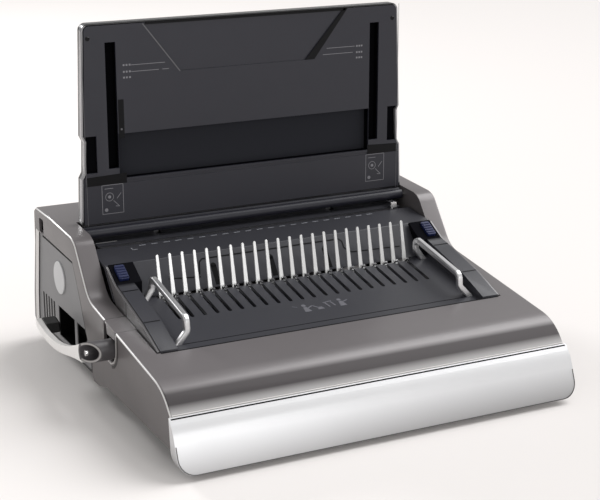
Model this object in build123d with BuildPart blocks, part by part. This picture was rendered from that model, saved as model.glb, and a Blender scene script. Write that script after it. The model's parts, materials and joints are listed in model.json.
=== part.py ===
# Electric comb binding machine, millimetres.
# X runs across the machine, +Y to its rear and +Z up, with the origin under the centre foot.
import os
from math import atan2, cos, degrees, pi, radians, sin, tan

from build123d import *

os.makedirs("parts", exist_ok=True)

# Comb pitch, which sets the scale of the machine
comb_pitch = 14.2875
tine_count = 22
punch_count = 21

# Housing
body_width = 451.4
wall = 3.0
body_height = 164.5
body_rear = 227.0
lip_y = -200.0
lip_z = 59.0
skirt_z = 25.0
edge_round = 3.0
seat_gap = 0.4
half_width = body_width / 2
inner_half = half_width - wall

# Shoulders: the foot and the brow of their slope, both rounded
shoulder_width = 22.7
shoulder_foot = (27.0, 105.5)
shoulder_brow = (68.0, 158.0)
foot_round = 35.0
brow_round = 20.0

# Nose of the front deck, over the lip
nose = (-182.5, 79.5)
nose_round = 55.0

# Recess between the shoulders, which takes the binding unit
recess_half = half_width - shoulder_width
recess_front = -112.0
recess_rear = 125.0
ledge_width = 7.0
ledge_thickness = 3.0

# Base and feet
floor_bottom = 14.0
floor_thickness = 3.0
floor_top = floor_bottom + floor_thickness
floor_margin = 19.7
floor_half = half_width - floor_margin
floor_front = -192.0
floor_rear = 208.0
foot_radius = 11.0
foot_spacing_x = 340.0
foot_spacing_y = 330.0
foot_hole_radius = 2.1
foot_bore_radius = 4.5

# Binding unit: a deck sloping down to the front
deck_slope = 10.05
deck_y = -43.5
deck_z = 96.0
deck_thickness = 4.0
deck_rear = 46.2
slit_width = 4.4
arm_width = 19.0
trim_thickness = 2.8
trim_gap = 1.2
arm_outer = recess_half - trim_thickness - trim_gap
arm_inner = arm_outer - arm_width
unit_gap = 0.8

# Tines and hooks
tine_length = 47.5
tine_thickness = 1.8
tine_base = 5.0
tine_tip = 3.0
tine_lean = 12.5
tine_bar_width = 3.8
tine_bar_height = 8.0
hook_thickness = 2.6
hook_travel = 25.0

# Lever and its pinions
lever_module = 1.0
lever_teeth = 24
shaft_radius = 5.0
running_gap = 0.05
neck_radius = 11.0
lever_y = -42.5
lever_z = 74.0
lever_arm_x = -half_width - 28.3
lever_reach = 158.0

# Drawer
drawer_width = body_width + 3.3
drawer_bottom = 6.0
drawer_tray_half = 175.0
drawer_tray_top = 48.0
drawer_wall = 2.5
drawer_tray_rear = 105.0
drawer_corner = 17.0

# Throat, die and punches
slot_y = 88.0
slot_width = 4.8
ledge_top = 142.0
throat_width = 2 * recess_half - 3.0
throat_strip_width = 381.0
die_depth = 13.6
die_bottom = 110.0
punch_z = 126.0
punch_width = 8.0
punch_height = 3.0
punch_gap = 0.4
punch_travel = 10.0
guide_depth = 10.6
bar_front = slot_y + slot_width / 2 + guide_depth + punch_travel + 1.0
bar_depth = 10.0
frame_plate_x = recess_half - 15.0
frame_plate_thickness = 3.0

# Camshaft and drive
cam_y = 150.0
cam_radius = 14.0
cam_shaft_radius = 6.0
cam_gear_module = 1.5
cam_gear_teeth = 40
motor_pinion_teeth = 16
yoke_x = 110.0
yoke_thickness = 6.0
drive_x = 168.0
drive_width = 10.0

# Lid
lid_hinge_y = 105.0
lid_hinge_z = 154.0
lid_face_y = 108.0
lid_bottom = 161.0
lid_top = 384.0
lid_width_bottom = throat_width
lid_width_top = lid_width_bottom - 16.0
lid_thickness = 15.0
lid_skin = 2.1
lid_corner = 8.0
barrel_radius = 5.5
pin_radius = 3.0

# Places worked out from the dimensions
slope = radians(deck_slope)
deck_side = Plane(origin=(0, deck_y, deck_z), x_dir=(0, cos(slope), sin(slope)), z_dir=(1, 0, 0))
deck_top = Plane(origin=(0, deck_y, deck_z), x_dir=(1, 0, 0), z_dir=(0, -sin(slope), cos(slope)))


def deck_height(y):
    """Height of the deck's upper surface at a depth in the machine."""
    return deck_z + (y - deck_y) * tan(slope)


def on_deck(y, z):
    """A point of the side view in the deck's own along and up directions."""
    return (
        (y - deck_y) * cos(slope) + (z - deck_z) * sin(slope),
        (z - deck_z) * cos(slope) - (y - deck_y) * sin(slope),
    )


def inset(points, distance):
    """The outline moved inwards by a distance, for points that run clockwise."""
    moved = []
    for before, here, after in zip(points[-1:] + points[:-1], points, points[1:] + points[:1]):
        turn_in = atan2(here[1] - before[1], here[0] - before[0])
        turn_out = atan2(after[1] - here[1], after[0] - here[0])
        middle = (turn_in + turn_out) / 2 if abs(turn_in - turn_out) < pi else (turn_in + turn_out) / 2 + pi
        reach = distance / cos(middle - turn_in)
        moved.append((here[0] + reach * sin(middle), here[1] - reach * cos(middle)))
    return moved


def housing_view(points, depth):
    """A side view of the housing at a depth under its skin, with the nose and the shoulder's slope rounded."""
    with BuildSketch() as view:
        Polygon(*points, align=None)
        fillet(view.vertices().sort_by_distance((*nose, 0))[0], nose_round - depth)
        fillet(view.vertices().sort_by_distance((*shoulder_foot, 0))[0], foot_round + depth)
        fillet(view.vertices().sort_by_distance((*shoulder_brow, 0))[0], brow_round - depth)
    return view.sketch


# Side view of the housing, from the front lip over the shoulders to the rear and back along the skirt
front_chain = [(lip_y - 3.5, skirt_z), (lip_y, lip_z), nose]
top_chain = [
    (-60, 94.5),
    (-17, 99.8),
    shoulder_foot,
    shoulder_brow,
    (80, body_height - 3.2),
    (148, body_height),
    (body_rear - 24, body_height),
    (body_rear - 17, body_height - 4),
]
rear_chain = [(body_rear - 15, 123), (body_rear - 2.4, 58.6), (body_rear, 33), (body_rear - 3, 26), (body_rear - 10, 22)]
skirt_chain = [(25, skirt_z), (18, 17.4), (-1, 17.9), (-24, skirt_z)]
side_outline = front_chain + top_chain + rear_chain + skirt_chain
cavity_outline = inset(front_chain + top_chain + rear_chain, wall)
tub_outline = inset(front_chain + top_chain + rear_chain, wall / 2)

# Lever slot in the left wall: a round bottom with straight sides, open at the top
lever_slot_y = -38.0
lever_slot_radius = 17.0
lever_slot_z = 76.0
lever_slot_top = 120.0

# Inset side panel and its hand windows, seen from the side
panel_top = 136.5
bevel_depth = 2.2
bevel_angle = 60.0
panel_opening = [
    (25, 10),
    (25, 36),
    (38, 59),
    (57, 97),
    (78, panel_top - 4),
    (190, panel_top),
    (body_rear - 27, 136),
    (body_rear - 14, 60),
    (body_rear - 11.5, 33),
    (body_rear - 11.5, 10),
]
panel_margin = 4.0
panel_bottom = 24.0
panel_thickness = 3.0
panel_outer = inner_half - seat_gap
window_bottom = 29.0
window_top = 64.5
window_front = 45.5
window_rib = 78.0
window_rib_width = 8.0
window_rear = 142.0
pocket_depth = 22.0
pocket_wall = 2.5
vent_count = 5
vent_pitch = 9.6
vent_width = 2.8
vent_height = 36.0
vent_y = 177.0
cap_radius = 19.0
cap_y = 132.0
cap_z = 100.0
cap_thickness = 1.4

# Short slot above the panel at the wall's rear corner
grip_slot_y = 182.5
grip_slot_z = 147.5
grip_slot_width = 15.0
grip_slot_height = 17.0

# Rear opening and the parts that sit in its cover
cover_half = 180.0
cover_bottom = 40.0
cover_top = 140.0
inlet_x = 140.0
inlet_width = 28.0
inlet_height = 20.0
inlet_z = 61.0
rocker_x = 110.0
rocker_width = 14.0
rocker_height = 20.0

rim_width = inner_half - seat_gap - floor_half + wall
rim_middle = floor_half - wall + rim_width / 2

# Base tray with a floor under the drawer and a rim under the skirt
with BuildPart() as base_tray:
    with BuildSketch(Plane.XY.offset(floor_bottom)):
        with Locations((0, (floor_front + floor_rear) / 2)):
            RectangleRounded(2 * floor_half, floor_rear - floor_front, 8)
    extrude(amount=floor_thickness)
    for side in (-1, 1):
        with BuildSketch(Plane.XY.offset(floor_bottom)):
            with Locations((side * (floor_half - wall / 2), (floor_front + floor_rear) / 2 + 4)):
                Rectangle(wall, floor_rear - floor_front - 24)
        extrude(amount=panel_bottom - floor_bottom)
        with BuildSketch(Plane.XY.offset(panel_bottom - wall)):
            with Locations((side * rim_middle, (floor_front + floor_rear) / 2 + 4)):
                Rectangle(rim_width, floor_rear - floor_front - 24)
        extrude(amount=wall)
    with BuildSketch(Plane.XY.offset(floor_top)):
        with Locations((-115, 170)):
            with GridLocations(100, 40, 2, 2):
                Circle(4)
    extrude(amount=13)
    with BuildSketch(Plane.XY.offset(floor_bottom)):
        with GridLocations(foot_spacing_x, foot_spacing_y, 2, 2):
            Circle(foot_hole_radius)
    extrude(amount=floor_thickness, mode=Mode.SUBTRACT)
base_tray.part.label = "base_tray"
export_step(base_tray.part, "parts/base_tray.step")

# Rubber feet, one at each corner with a bore for its screw, and a plain one under the die
foot_places = {
    "foot_front_left": (-foot_spacing_x / 2, -foot_spacing_y / 2),
    "foot_front_right": (foot_spacing_x / 2, -foot_spacing_y / 2),
    "foot_rear_left": (-foot_spacing_x / 2, foot_spacing_y / 2),
    "foot_rear_right": (foot_spacing_x / 2, foot_spacing_y / 2),
    "foot_centre": (0, 0),
}
for name, place in foot_places.items():
    with BuildPart() as foot:
        with BuildSketch():
            with Locations(place):
                Circle(foot_radius)
                if name != "foot_centre":
                    Circle(foot_bore_radius, mode=Mode.SUBTRACT)
        extrude(amount=floor_bottom, taper=3)
    foot.part.label = name
    export_step(foot.part, "parts/" + name + ".step")

# Upper shell: one moulding with the deck surround, both shoulders, the side walls and the rear wall
with BuildPart() as upper_shell:
    with BuildSketch(Plane.YZ.offset(-half_width)):
        add(housing_view(side_outline, 0))
    extrude(amount=body_width)
    side_edges = upper_shell.edges().filter_by(lambda edge: abs(abs(edge.center().X) - half_width) < 0.01)
    fillet(side_edges.filter_by(lambda edge: edge.center().Z > skirt_z + 5), edge_round)
    with BuildSketch(Plane.YZ.offset(-inner_half)):
        add(housing_view(cavity_outline, wall))
        with Locations((floor_front - 4, 0)):
            Rectangle(body_rear - 7 - floor_front + 4, 45, align=(Align.MIN, Align.MIN))
        with Locations((lip_y - 20, 0)):
            Rectangle(60, lip_z - wall, align=(Align.MIN, Align.MIN))
    extrude(amount=2 * inner_half, mode=Mode.SUBTRACT)
    with BuildSketch(Plane.YZ.offset(-recess_half - wall)):
        add(housing_view(tub_outline, wall / 2))
        tub = [
            (recess_front - wall, 72),
            (recess_front - wall, 300),
            (recess_rear + wall, 300),
            (recess_rear + wall, 152),
            (recess_rear, 152),
            (recess_rear, 98),
            (20, 98),
        ]
        Polygon(*tub, align=None, mode=Mode.INTERSECT)
    extrude(amount=2 * (recess_half + wall))
    with BuildSketch(Plane.XY.offset(skirt_z + 20)):
        with Locations((0, recess_front)):
            Rectangle(2 * recess_half, recess_rear - recess_front, align=(Align.CENTER, Align.MIN))
    extrude(amount=body_height, mode=Mode.SUBTRACT)
    for side in (-1, 1):
        with BuildSketch(Plane.YZ.offset(side * recess_half - (ledge_width if side > 0 else 0))):
            rest_height = deck_thickness / cos(slope) + seat_gap
            ledge = [
                (recess_front, deck_height(recess_front) - rest_height),
                (8, deck_height(8) - rest_height),
                (8, deck_height(8) - rest_height - ledge_thickness),
                (recess_front, deck_height(recess_front) - rest_height - ledge_thickness),
            ]
            Polygon(*ledge, align=None)
        extrude(amount=ledge_width)
    with BuildSketch(Plane.YZ.offset(-half_width - 1)):
        with Locations((lever_slot_y, lever_slot_z)):
            Circle(lever_slot_radius)
        with Locations((lever_slot_y, lever_slot_z)):
            Rectangle(2 * lever_slot_radius, lever_slot_top - lever_slot_z, align=(Align.CENTER, Align.MIN))
    extrude(amount=half_width + 1 - recess_half + ledge_width, mode=Mode.SUBTRACT)
    for side in (-1, 1):
        with BuildSketch(Plane.YZ.offset(side * half_width - side * (wall + 1))):
            Polygon(*panel_opening, align=None)
        extrude(amount=side * (wall + 2), mode=Mode.SUBTRACT)
        with BuildSketch(Plane.YZ.offset(side * (half_width - bevel_depth))):
            Polygon(*panel_opening, align=None)
        extrude(amount=side * bevel_depth, taper=-bevel_angle, mode=Mode.SUBTRACT)
        with BuildSketch(Plane.YZ.offset(side * half_width + side)):
            with Locations((grip_slot_y, grip_slot_z)):
                RectangleRounded(grip_slot_width, grip_slot_height, 3)
        extrude(amount=-side * (wall + 2), mode=Mode.SUBTRACT)
        with BuildSketch(Plane.YZ.offset(side * recess_half)):
            with Locations((lid_hinge_y, lid_hinge_z)):
                Circle(pin_radius + running_gap)
        extrude(amount=side * wall, mode=Mode.SUBTRACT)
    with BuildSketch(Plane.XZ.offset(-body_rear - 5)):
        with Locations((0, (cover_bottom + cover_top) / 2)):
            Rectangle(2 * cover_half, cover_top - cover_bottom)
    extrude(amount=30, mode=Mode.SUBTRACT)
upper_shell.part.label = "upper_shell"
export_step(upper_shell.part, "parts/upper_shell.step")

# Inset side panels with cooling slots and a hand pocket behind two windows
for name, side in (("side_panel_left", -1), ("side_panel_right", 1)):
    with BuildPart() as side_panel:
        with BuildSketch(Plane.YZ.offset(side * panel_outer)):
            Polygon(*inset(panel_opening, -panel_margin), align=None)
            with Locations((0, panel_bottom)):
                Rectangle(body_rear + 50, body_height, align=(Align.MIN, Align.MIN), mode=Mode.INTERSECT)
        extrude(amount=-side * panel_thickness)
        with BuildSketch(Plane.YZ.offset(side * panel_outer)):
            with Locations((window_front - pocket_wall, window_bottom - pocket_wall)):
                Rectangle(
                    window_rear - window_front + 2 * pocket_wall,
                    window_top - window_bottom + 2 * pocket_wall,
                    align=(Align.MIN, Align.MIN),
                )
        extrude(amount=-side * (pocket_depth + pocket_wall))
        with BuildSketch(Plane.YZ.offset(side * (panel_outer - panel_thickness))):
            with Locations((window_front, window_bottom)):
                Rectangle(window_rear - window_front, window_top - window_bottom, align=(Align.MIN, Align.MIN))
        extrude(amount=-side * (pocket_depth - panel_thickness), mode=Mode.SUBTRACT)
        with BuildSketch(Plane.YZ.offset(side * panel_outer)):
            front_window = [
                (window_front, window_bottom),
                (window_front, window_top - 8),
                (window_front + 6, window_top),
                (window_rib, window_top),
                (window_rib, window_bottom),
            ]
            Polygon(*front_window, align=None)
            with Locations((window_rib + window_rib_width, window_bottom)):
                Rectangle(
                    window_rear - window_rib - window_rib_width,
                    window_top - window_bottom,
                    align=(Align.MIN, Align.MIN),
                )
            with Locations((vent_y, window_bottom + vent_height / 2)):
                with GridLocations(vent_pitch, 0, vent_count, 1):
                    SlotOverall(vent_height, vent_width, rotation=90)
        extrude(amount=-side * panel_thickness, mode=Mode.SUBTRACT)
    side_panel.part.label = name
    export_step(side_panel.part, "parts/" + name + ".step")

# Round light caps that hide a fixing in each side panel
for name, side in (("side_cap_left", -1), ("side_cap_right", 1)):
    with BuildPart() as side_cap:
        with BuildSketch(Plane.YZ.offset(side * panel_outer)):
            with Locations((cap_y, cap_z)):
                Circle(cap_radius)
        extrude(amount=side * cap_thickness, taper=20)
    side_cap.part.label = name
    export_step(side_cap.part, "parts/" + name + ".step")

# Rear cover that closes the opening in the shell's rear wall
inlet_hole_width = inlet_width + 2 * seat_gap
inlet_hole_height = inlet_height + 2 * seat_gap
with BuildPart() as rear_cover:
    with BuildSketch(Plane.YZ.offset(-cover_half + seat_gap)):
        Polygon(*side_outline, align=None)
        Polygon(*cavity_outline, align=None, mode=Mode.SUBTRACT)
        with Locations((body_rear - 40, cover_bottom + seat_gap)):
            Rectangle(60, cover_top - cover_bottom - 2 * seat_gap, align=(Align.MIN, Align.MIN), mode=Mode.INTERSECT)
    extrude(amount=2 * (cover_half - seat_gap))
    with BuildSketch(Plane.XZ.offset(-body_rear - 5)):
        with Locations((inlet_x, inlet_z)):
            Rectangle(inlet_hole_width, inlet_hole_height)
        with Locations((rocker_x, inlet_z)):
            Rectangle(rocker_width + 2 * seat_gap, rocker_height + 4)
        with Locations((-60, 95)):
            with GridLocations(12, 0, 12, 1):
                SlotOverall(40, 3, rotation=90)
    extrude(amount=40, mode=Mode.SUBTRACT)
rear_cover.part.label = "rear_cover"
export_step(rear_cover.part, "parts/rear_cover.step")

# Screws through the rear cover's corners, with their heads on its outer face
cover_lean = atan2(12.6, 123 - 58.6)
screw_z = 118.0
screw_y = body_rear - 15 + (123 - screw_z) * tan(cover_lean)
cover_face = Plane(
    origin=(0, screw_y, screw_z), x_dir=(1, 0, 0), z_dir=(0, cos(cover_lean), sin(cover_lean))
)
with BuildPart() as cover_screws:
    with BuildSketch(cover_face):
        with GridLocations(320, 0, 2, 1):
            Circle(3.4)
        with Locations((0, 60)):
            with GridLocations(240, 0, 2, 1):
                Circle(3.4)
    extrude(amount=1.6)
    with BuildSketch(cover_face.offset(1.6)):
        with GridLocations(320, 0, 2, 1):
            SlotOverall(5, 0.9)
        with Locations((0, 60)):
            with GridLocations(240, 0, 2, 1):
                SlotOverall(5, 0.9)
    extrude(amount=-0.8, mode=Mode.SUBTRACT)
cover_screws.part.label = "cover_screws"
export_step(cover_screws.part, "parts/cover_screws.step")

# Mains inlet: a socket with three blades, set in the rear cover
inlet_face = body_rear - 3.0
inlet_depth = 22.0
with BuildPart() as power_inlet:
    with BuildSketch(Plane.XZ.offset(-inlet_face)):
        with Locations((inlet_x, inlet_z)):
            Rectangle(inlet_width, inlet_height)
    extrude(amount=inlet_depth)
    with BuildSketch(Plane.XZ.offset(-inlet_face)):
        with Locations((inlet_x, inlet_z)):
            RectangleRounded(inlet_width - 4, inlet_height - 4, 3)
    extrude(amount=inlet_depth - 6, mode=Mode.SUBTRACT)
    with BuildSketch(Plane.XZ.offset(-inlet_face + inlet_depth - 6)):
        with Locations((inlet_x - 7, inlet_z - 2), (inlet_x, inlet_z + 2.5), (inlet_x + 7, inlet_z - 2)):
            Rectangle(2, 4)
    extrude(amount=-10)
power_inlet.part.label = "power_inlet"
export_step(power_inlet.part, "parts/power_inlet.step")

# Rocker of the power switch, which tips about a pin across its opening
rocker_face = body_rear - 3.6
rocker_pivot = rocker_face - 4.0
with BuildPart() as power_rocker:
    with BuildSketch(Plane.YZ.offset(rocker_x - rocker_width / 2)):
        rocker_profile = [
            (rocker_pivot - 3, inlet_z - 8),
            (rocker_face - 0.6, inlet_z - rocker_height / 2),
            (rocker_face + 1.4, inlet_z - rocker_height / 2),
            (rocker_face - 0.6, inlet_z),
            (rocker_face + 1.4, inlet_z + rocker_height / 2),
            (rocker_face - 0.6, inlet_z + rocker_height / 2),
            (rocker_pivot - 3, inlet_z + 8),
        ]
        Polygon(*rocker_profile, align=None)
    extrude(amount=rocker_width)
    with BuildSketch(Plane.YZ.offset(rocker_x - rocker_width / 2 - 2)):
        with Locations((rocker_pivot, inlet_z)):
            Circle(1.5)
    extrude(amount=rocker_width + 4)
power_rocker.part.label = "power_rocker"
export_step(power_rocker.part, "parts/power_rocker.step")

# Cradle behind the rear cover that carries the rocker's pin
with BuildPart() as rocker_cradle:
    for side in (-1, 1):
        with BuildSketch(Plane.YZ.offset(rocker_x + side * (rocker_width / 2 + seat_gap + 1.2) - 1)):
            with Locations((rocker_pivot - 5.3, inlet_z)):
                Rectangle(11, 12)
            with Locations((rocker_pivot, inlet_z)):
                Circle(1.5 + running_gap, mode=Mode.SUBTRACT)
        extrude(amount=2)
    with BuildSketch(Plane.XZ.offset(-rocker_pivot + 10.8)):
        with Locations((rocker_x, inlet_z)):
            Rectangle(rocker_width + 2 * seat_gap + 4.4, 12)
    extrude(amount=2)
rocker_cradle.part.label = "rocker_cradle"
export_step(rocker_cradle.part, "parts/rocker_cradle.step")

# Sloping panel behind the tines that bends into the ledge in front of the paper slot
ledge_half = throat_width / 2
slot_front = slot_y - slot_width / 2
slot_rear = slot_y + slot_width / 2
panel_foot = (12.5, 103.5)
panel_knee = (40, 136.4)
with BuildPart() as throat_ledge:
    with BuildSketch(Plane.YZ.offset(-ledge_half)):
        ledge_section = [
            panel_foot,
            panel_knee,
            (slot_front, ledge_top),
            (slot_front, ledge_top - wall),
            (panel_knee[0] + 1.5, panel_knee[1] - wall),
            (panel_foot[0] + 4, panel_foot[1]),
        ]
        Polygon(*ledge_section, align=None)
    extrude(amount=2 * ledge_half)
    for side in (-1, 1):
        with BuildSketch(Plane.YZ.offset(side * frame_plate_x)):
            web = [
                (panel_knee[0] + 4, panel_knee[1] - 1.5),
                (72, ledge_top - wall),
                (72, 112),
                (30, 112),
                (25, 114.5),
            ]
            Polygon(*web, align=None)
        extrude(amount=-side * wall)
throat_ledge.part.label = "throat_ledge"
export_step(throat_ledge.part, "parts/throat_ledge.step")

# Bright metal strip behind the paper slot, with its rear edge turned up under the lid's barrel
strip_thickness = 1.6
strip_z = ledge_top - 0.6
strip_rear = 121.5
strip_lip_top = 151.0
with BuildPart() as throat_strip:
    with BuildSketch(Plane.YZ.offset(-throat_strip_width / 2)):
        strip_section = [
            (slot_rear, strip_z),
            (slot_rear, strip_z + strip_thickness),
            (strip_rear - strip_thickness, strip_z + strip_thickness),
            (strip_rear - strip_thickness, strip_lip_top),
            (strip_rear, strip_lip_top),
            (strip_rear, strip_z),
        ]
        Polygon(*strip_section, align=None)
    extrude(amount=throat_strip_width)
    with BuildSketch(Plane.XY.offset(strip_z)):
        with Locations((0, bar_front + bar_depth - punch_travel - 0.8)):
            with GridLocations(2 * yoke_x, 0, 2, 1):
                Rectangle(yoke_thickness + 2, 20, align=(Align.CENTER, Align.MIN))
    extrude(amount=strip_lip_top - strip_z, mode=Mode.SUBTRACT)
throat_strip.part.label = "throat_strip"
export_step(throat_strip.part, "parts/throat_strip.step")

# Die block in front of the slot and punch guide behind it, both with one hole for each punch
with BuildPart() as die_block:
    with BuildSketch(Plane.XZ.offset(-slot_front)):
        with Locations((0, die_bottom)):
            Rectangle(2 * frame_plate_x, ledge_top - wall - 2 - die_bottom, align=(Align.CENTER, Align.MIN))
        with Locations((0, punch_z)):
            with GridLocations(comb_pitch, 0, punch_count, 1):
                Rectangle(punch_width + 2 * punch_gap, punch_height + 2 * punch_gap, mode=Mode.SUBTRACT)
    extrude(amount=die_depth)
die_block.part.label = "die_block"
export_step(die_block.part, "parts/die_block.step")

with BuildPart() as punch_guide:
    with BuildSketch(Plane.XZ.offset(-slot_rear)):
        with Locations((0, die_bottom)):
            Rectangle(2 * frame_plate_x, strip_z - die_bottom, align=(Align.CENTER, Align.MIN))
        with Locations((0, punch_z)):
            with GridLocations(comb_pitch, 0, punch_count, 1):
                Rectangle(punch_width + 2 * punch_gap, punch_height + 2 * punch_gap, mode=Mode.SUBTRACT)
    extrude(amount=-guide_depth)
    with BuildSketch(Plane.XY.offset(die_bottom - 4)):
        with Locations((0, slot_front - die_depth)):
            Rectangle(2 * frame_plate_x, die_depth + slot_width + guide_depth, align=(Align.CENTER, Align.MIN))
    extrude(amount=4)
punch_guide.part.label = "punch_guide"
export_step(punch_guide.part, "parts/punch_guide.step")

# Steel frame plates that carry the die, the guide and the camshaft
plate_front = 70.0
plate_rear = 192.0
plate_top = 137.0
cam_z = punch_z
for name, side in (("frame_plate_left", -1), ("frame_plate_right", 1)):
    with BuildPart() as frame_plate:
        with BuildSketch(Plane.YZ.offset(side * frame_plate_x)):
            plate = [
                (plate_front, floor_top),
                (plate_front, plate_top),
                (cam_y + 14, plate_top),
                (plate_rear, 100),
                (plate_rear, floor_top),
            ]
            Polygon(*plate, align=None)
            with Locations((cam_y, cam_z)):
                Circle(cam_shaft_radius + running_gap, mode=Mode.SUBTRACT)
            with Locations(((plate_front + plate_rear) / 2, 60)):
                RectangleRounded(70, 50, 8, mode=Mode.SUBTRACT)
        extrude(amount=side * frame_plate_thickness)
    frame_plate.part.label = name
    export_step(frame_plate.part, "parts/" + name + ".step")

# Punches, flat blades with slanted tips, on one steel bar
punch_tip = slot_rear + 1.6
bar_height = 16.0
bar_half = 153.0
with BuildPart() as punches:
    with BuildSketch(Plane.YZ.offset(-punch_width / 2)):
        blade = [
            (punch_tip, punch_z + punch_height / 2),
            (punch_tip + 1.2, punch_z - punch_height / 2),
            (bar_front, punch_z - punch_height / 2),
            (bar_front, punch_z + punch_height / 2),
        ]
        Polygon(*blade, align=None)
    blade_solid = extrude(amount=punch_width, mode=Mode.PRIVATE)
    with GridLocations(comb_pitch, 0, punch_count, 1):
        add(blade_solid)
punches.part.label = "punches"
export_step(punches.part, "parts/punches.step")

# Punch bar with two yokes that the eccentrics push and pull
cam_throw = punch_travel / 2
yoke_window = cam_radius + 1.3
yoke_reach = cam_radius + cam_throw + 0.6
yoke_border = 4.5
with BuildPart() as punch_bar:
    with BuildSketch(Plane.XZ.offset(-bar_front)):
        with Locations((0, punch_z)):
            Rectangle(2 * bar_half, bar_height)
    extrude(amount=-bar_depth)
    for side in (-1, 1):
        with BuildSketch(Plane.YZ.offset(side * yoke_x - yoke_thickness / 2)):
            with Locations((bar_front + bar_depth, cam_z)):
                Rectangle(
                    cam_y + cam_throw + yoke_window + yoke_border - bar_front - bar_depth,
                    2 * (yoke_reach + yoke_border),
                    align=(Align.MIN, Align.CENTER),
                )
            with Locations((cam_y + cam_throw, cam_z)):
                Rectangle(2 * yoke_window, 2 * yoke_reach, mode=Mode.SUBTRACT)
        extrude(amount=yoke_thickness)
punch_bar.part.label = "punch_bar"
export_step(punch_bar.part, "parts/punch_bar.step")

# Camshaft with its two eccentrics
with BuildPart() as camshaft:
    with BuildSketch(Plane.YZ.offset(-frame_plate_x - frame_plate_thickness)):
        with Locations((cam_y, cam_z)):
            Circle(cam_shaft_radius)
    extrude(amount=2 * (frame_plate_x + frame_plate_thickness))
camshaft.part.label = "camshaft"
export_step(camshaft.part, "parts/camshaft.step")

for name, side in (("eccentric_left", -1), ("eccentric_right", 1)):
    with BuildPart() as eccentric:
        with BuildSketch(Plane.YZ.offset(side * yoke_x - yoke_thickness / 2 - 1)):
            with Locations((cam_y + cam_throw, cam_z)):
                Circle(cam_radius)
            with Locations((cam_y, cam_z)):
                Circle(cam_shaft_radius, mode=Mode.SUBTRACT)
        extrude(amount=yoke_thickness + 2)
    eccentric.part.label = name
    export_step(eccentric.part, "parts/" + name + ".step")


def tooth_outline(module, root_radius):
    """One straight-sided tooth that points along +X from the gear's centre."""
    backlash = 0.12 * module
    pitch_half = pi * module / 4 - backlash
    tip = root_radius + 2.25 * module
    root_half = pitch_half + 1.25 * module * tan(radians(20))
    tip_half = pitch_half - module * tan(radians(20))
    return [(root_radius - 0.5, -root_half), (tip, -tip_half), (tip, tip_half), (root_radius - 0.5, root_half)]


# Gear on the camshaft, with a gap between two teeth straight below the shaft
gear_pitch_radius = cam_gear_module * cam_gear_teeth / 2
gear_root = gear_pitch_radius - 1.25 * cam_gear_module
with BuildPart() as cam_gear:
    with BuildSketch(Plane.YZ.offset(drive_x)):
        with Locations((cam_y, cam_z)):
            Circle(gear_root)
            Circle(cam_shaft_radius, mode=Mode.SUBTRACT)
            with PolarLocations(0, cam_gear_teeth, start_angle=-90 + 180 / cam_gear_teeth):
                Polygon(*tooth_outline(cam_gear_module, gear_root), align=None)
            with PolarLocations(18, 6):
                Circle(4.5, mode=Mode.SUBTRACT)
    extrude(amount=drive_width)
cam_gear.part.label = "cam_gear"
export_step(cam_gear.part, "parts/cam_gear.step")

# Motor pinion with its shaft, a tooth straight up into the gear's gap
motor_z = cam_z - cam_gear_module * (cam_gear_teeth + motor_pinion_teeth) / 2
motor_root = cam_gear_module * (motor_pinion_teeth / 2 - 1.25)
motor_shaft_radius = 3.0
gearbox_depth = 14.0
gearbox_face = drive_x - 6.0
with BuildPart() as motor_pinion:
    with BuildSketch(Plane.YZ.offset(drive_x)):
        with Locations((cam_y, motor_z)):
            Circle(motor_root)
            with PolarLocations(0, motor_pinion_teeth, start_angle=90):
                Polygon(*tooth_outline(cam_gear_module, motor_root), align=None)
    extrude(amount=drive_width)
    with BuildSketch(Plane.YZ.offset(gearbox_face - gearbox_depth / 2)):
        with Locations((cam_y, motor_z)):
            Circle(motor_shaft_radius)
    extrude(amount=gearbox_depth / 2 + 6)
motor_pinion.part.label = "motor_pinion"
export_step(motor_pinion.part, "parts/motor_pinion.step")

# Gearmotor: a can with a wider gearbox on its shaft end
motor_radius = 19.0
motor_length = 32.0
with BuildPart() as gearmotor:
    with BuildSketch(Plane.YZ.offset(gearbox_face - gearbox_depth)):
        with Locations((cam_y, motor_z)):
            Circle(motor_radius + 3)
    extrude(amount=gearbox_depth)
    with BuildSketch(Plane.YZ.offset(gearbox_face - gearbox_depth / 2 - 0.5)):
        with Locations((cam_y, motor_z)):
            Circle(motor_shaft_radius + running_gap)
    extrude(amount=gearbox_depth, mode=Mode.SUBTRACT)
    with BuildSketch(Plane.YZ.offset(gearbox_face - gearbox_depth)):
        with Locations((cam_y, motor_z)):
            Circle(motor_radius)
    extrude(amount=-motor_length)
    with BuildSketch(Plane.YZ.offset(gearbox_face - gearbox_depth - motor_length)):
        with Locations((cam_y, motor_z)):
            Circle(6)
    extrude(amount=-3)
gearmotor.part.label = "gearmotor"
export_step(gearmotor.part, "parts/gearmotor.step")

# Bracket that stands on the floor and carries the gearbox's face
with BuildPart() as motor_bracket:
    with BuildSketch(Plane.YZ.offset(gearbox_face)):
        with Locations((cam_y, floor_top)):
            Rectangle(54, motor_z + 24 - floor_top, align=(Align.CENTER, Align.MIN))
        with Locations((cam_y, motor_z)):
            Circle(motor_shaft_radius + 1.5, mode=Mode.SUBTRACT)
    extrude(amount=2.5)
    with BuildSketch(Plane.XY.offset(floor_top)):
        with Locations((gearbox_face + 2.5, cam_y)):
            Rectangle(30, 54, align=(Align.MAX, Align.CENTER))
    extrude(amount=2.5)
motor_bracket.part.label = "motor_bracket"
export_step(motor_bracket.part, "parts/motor_bracket.step")

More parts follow.
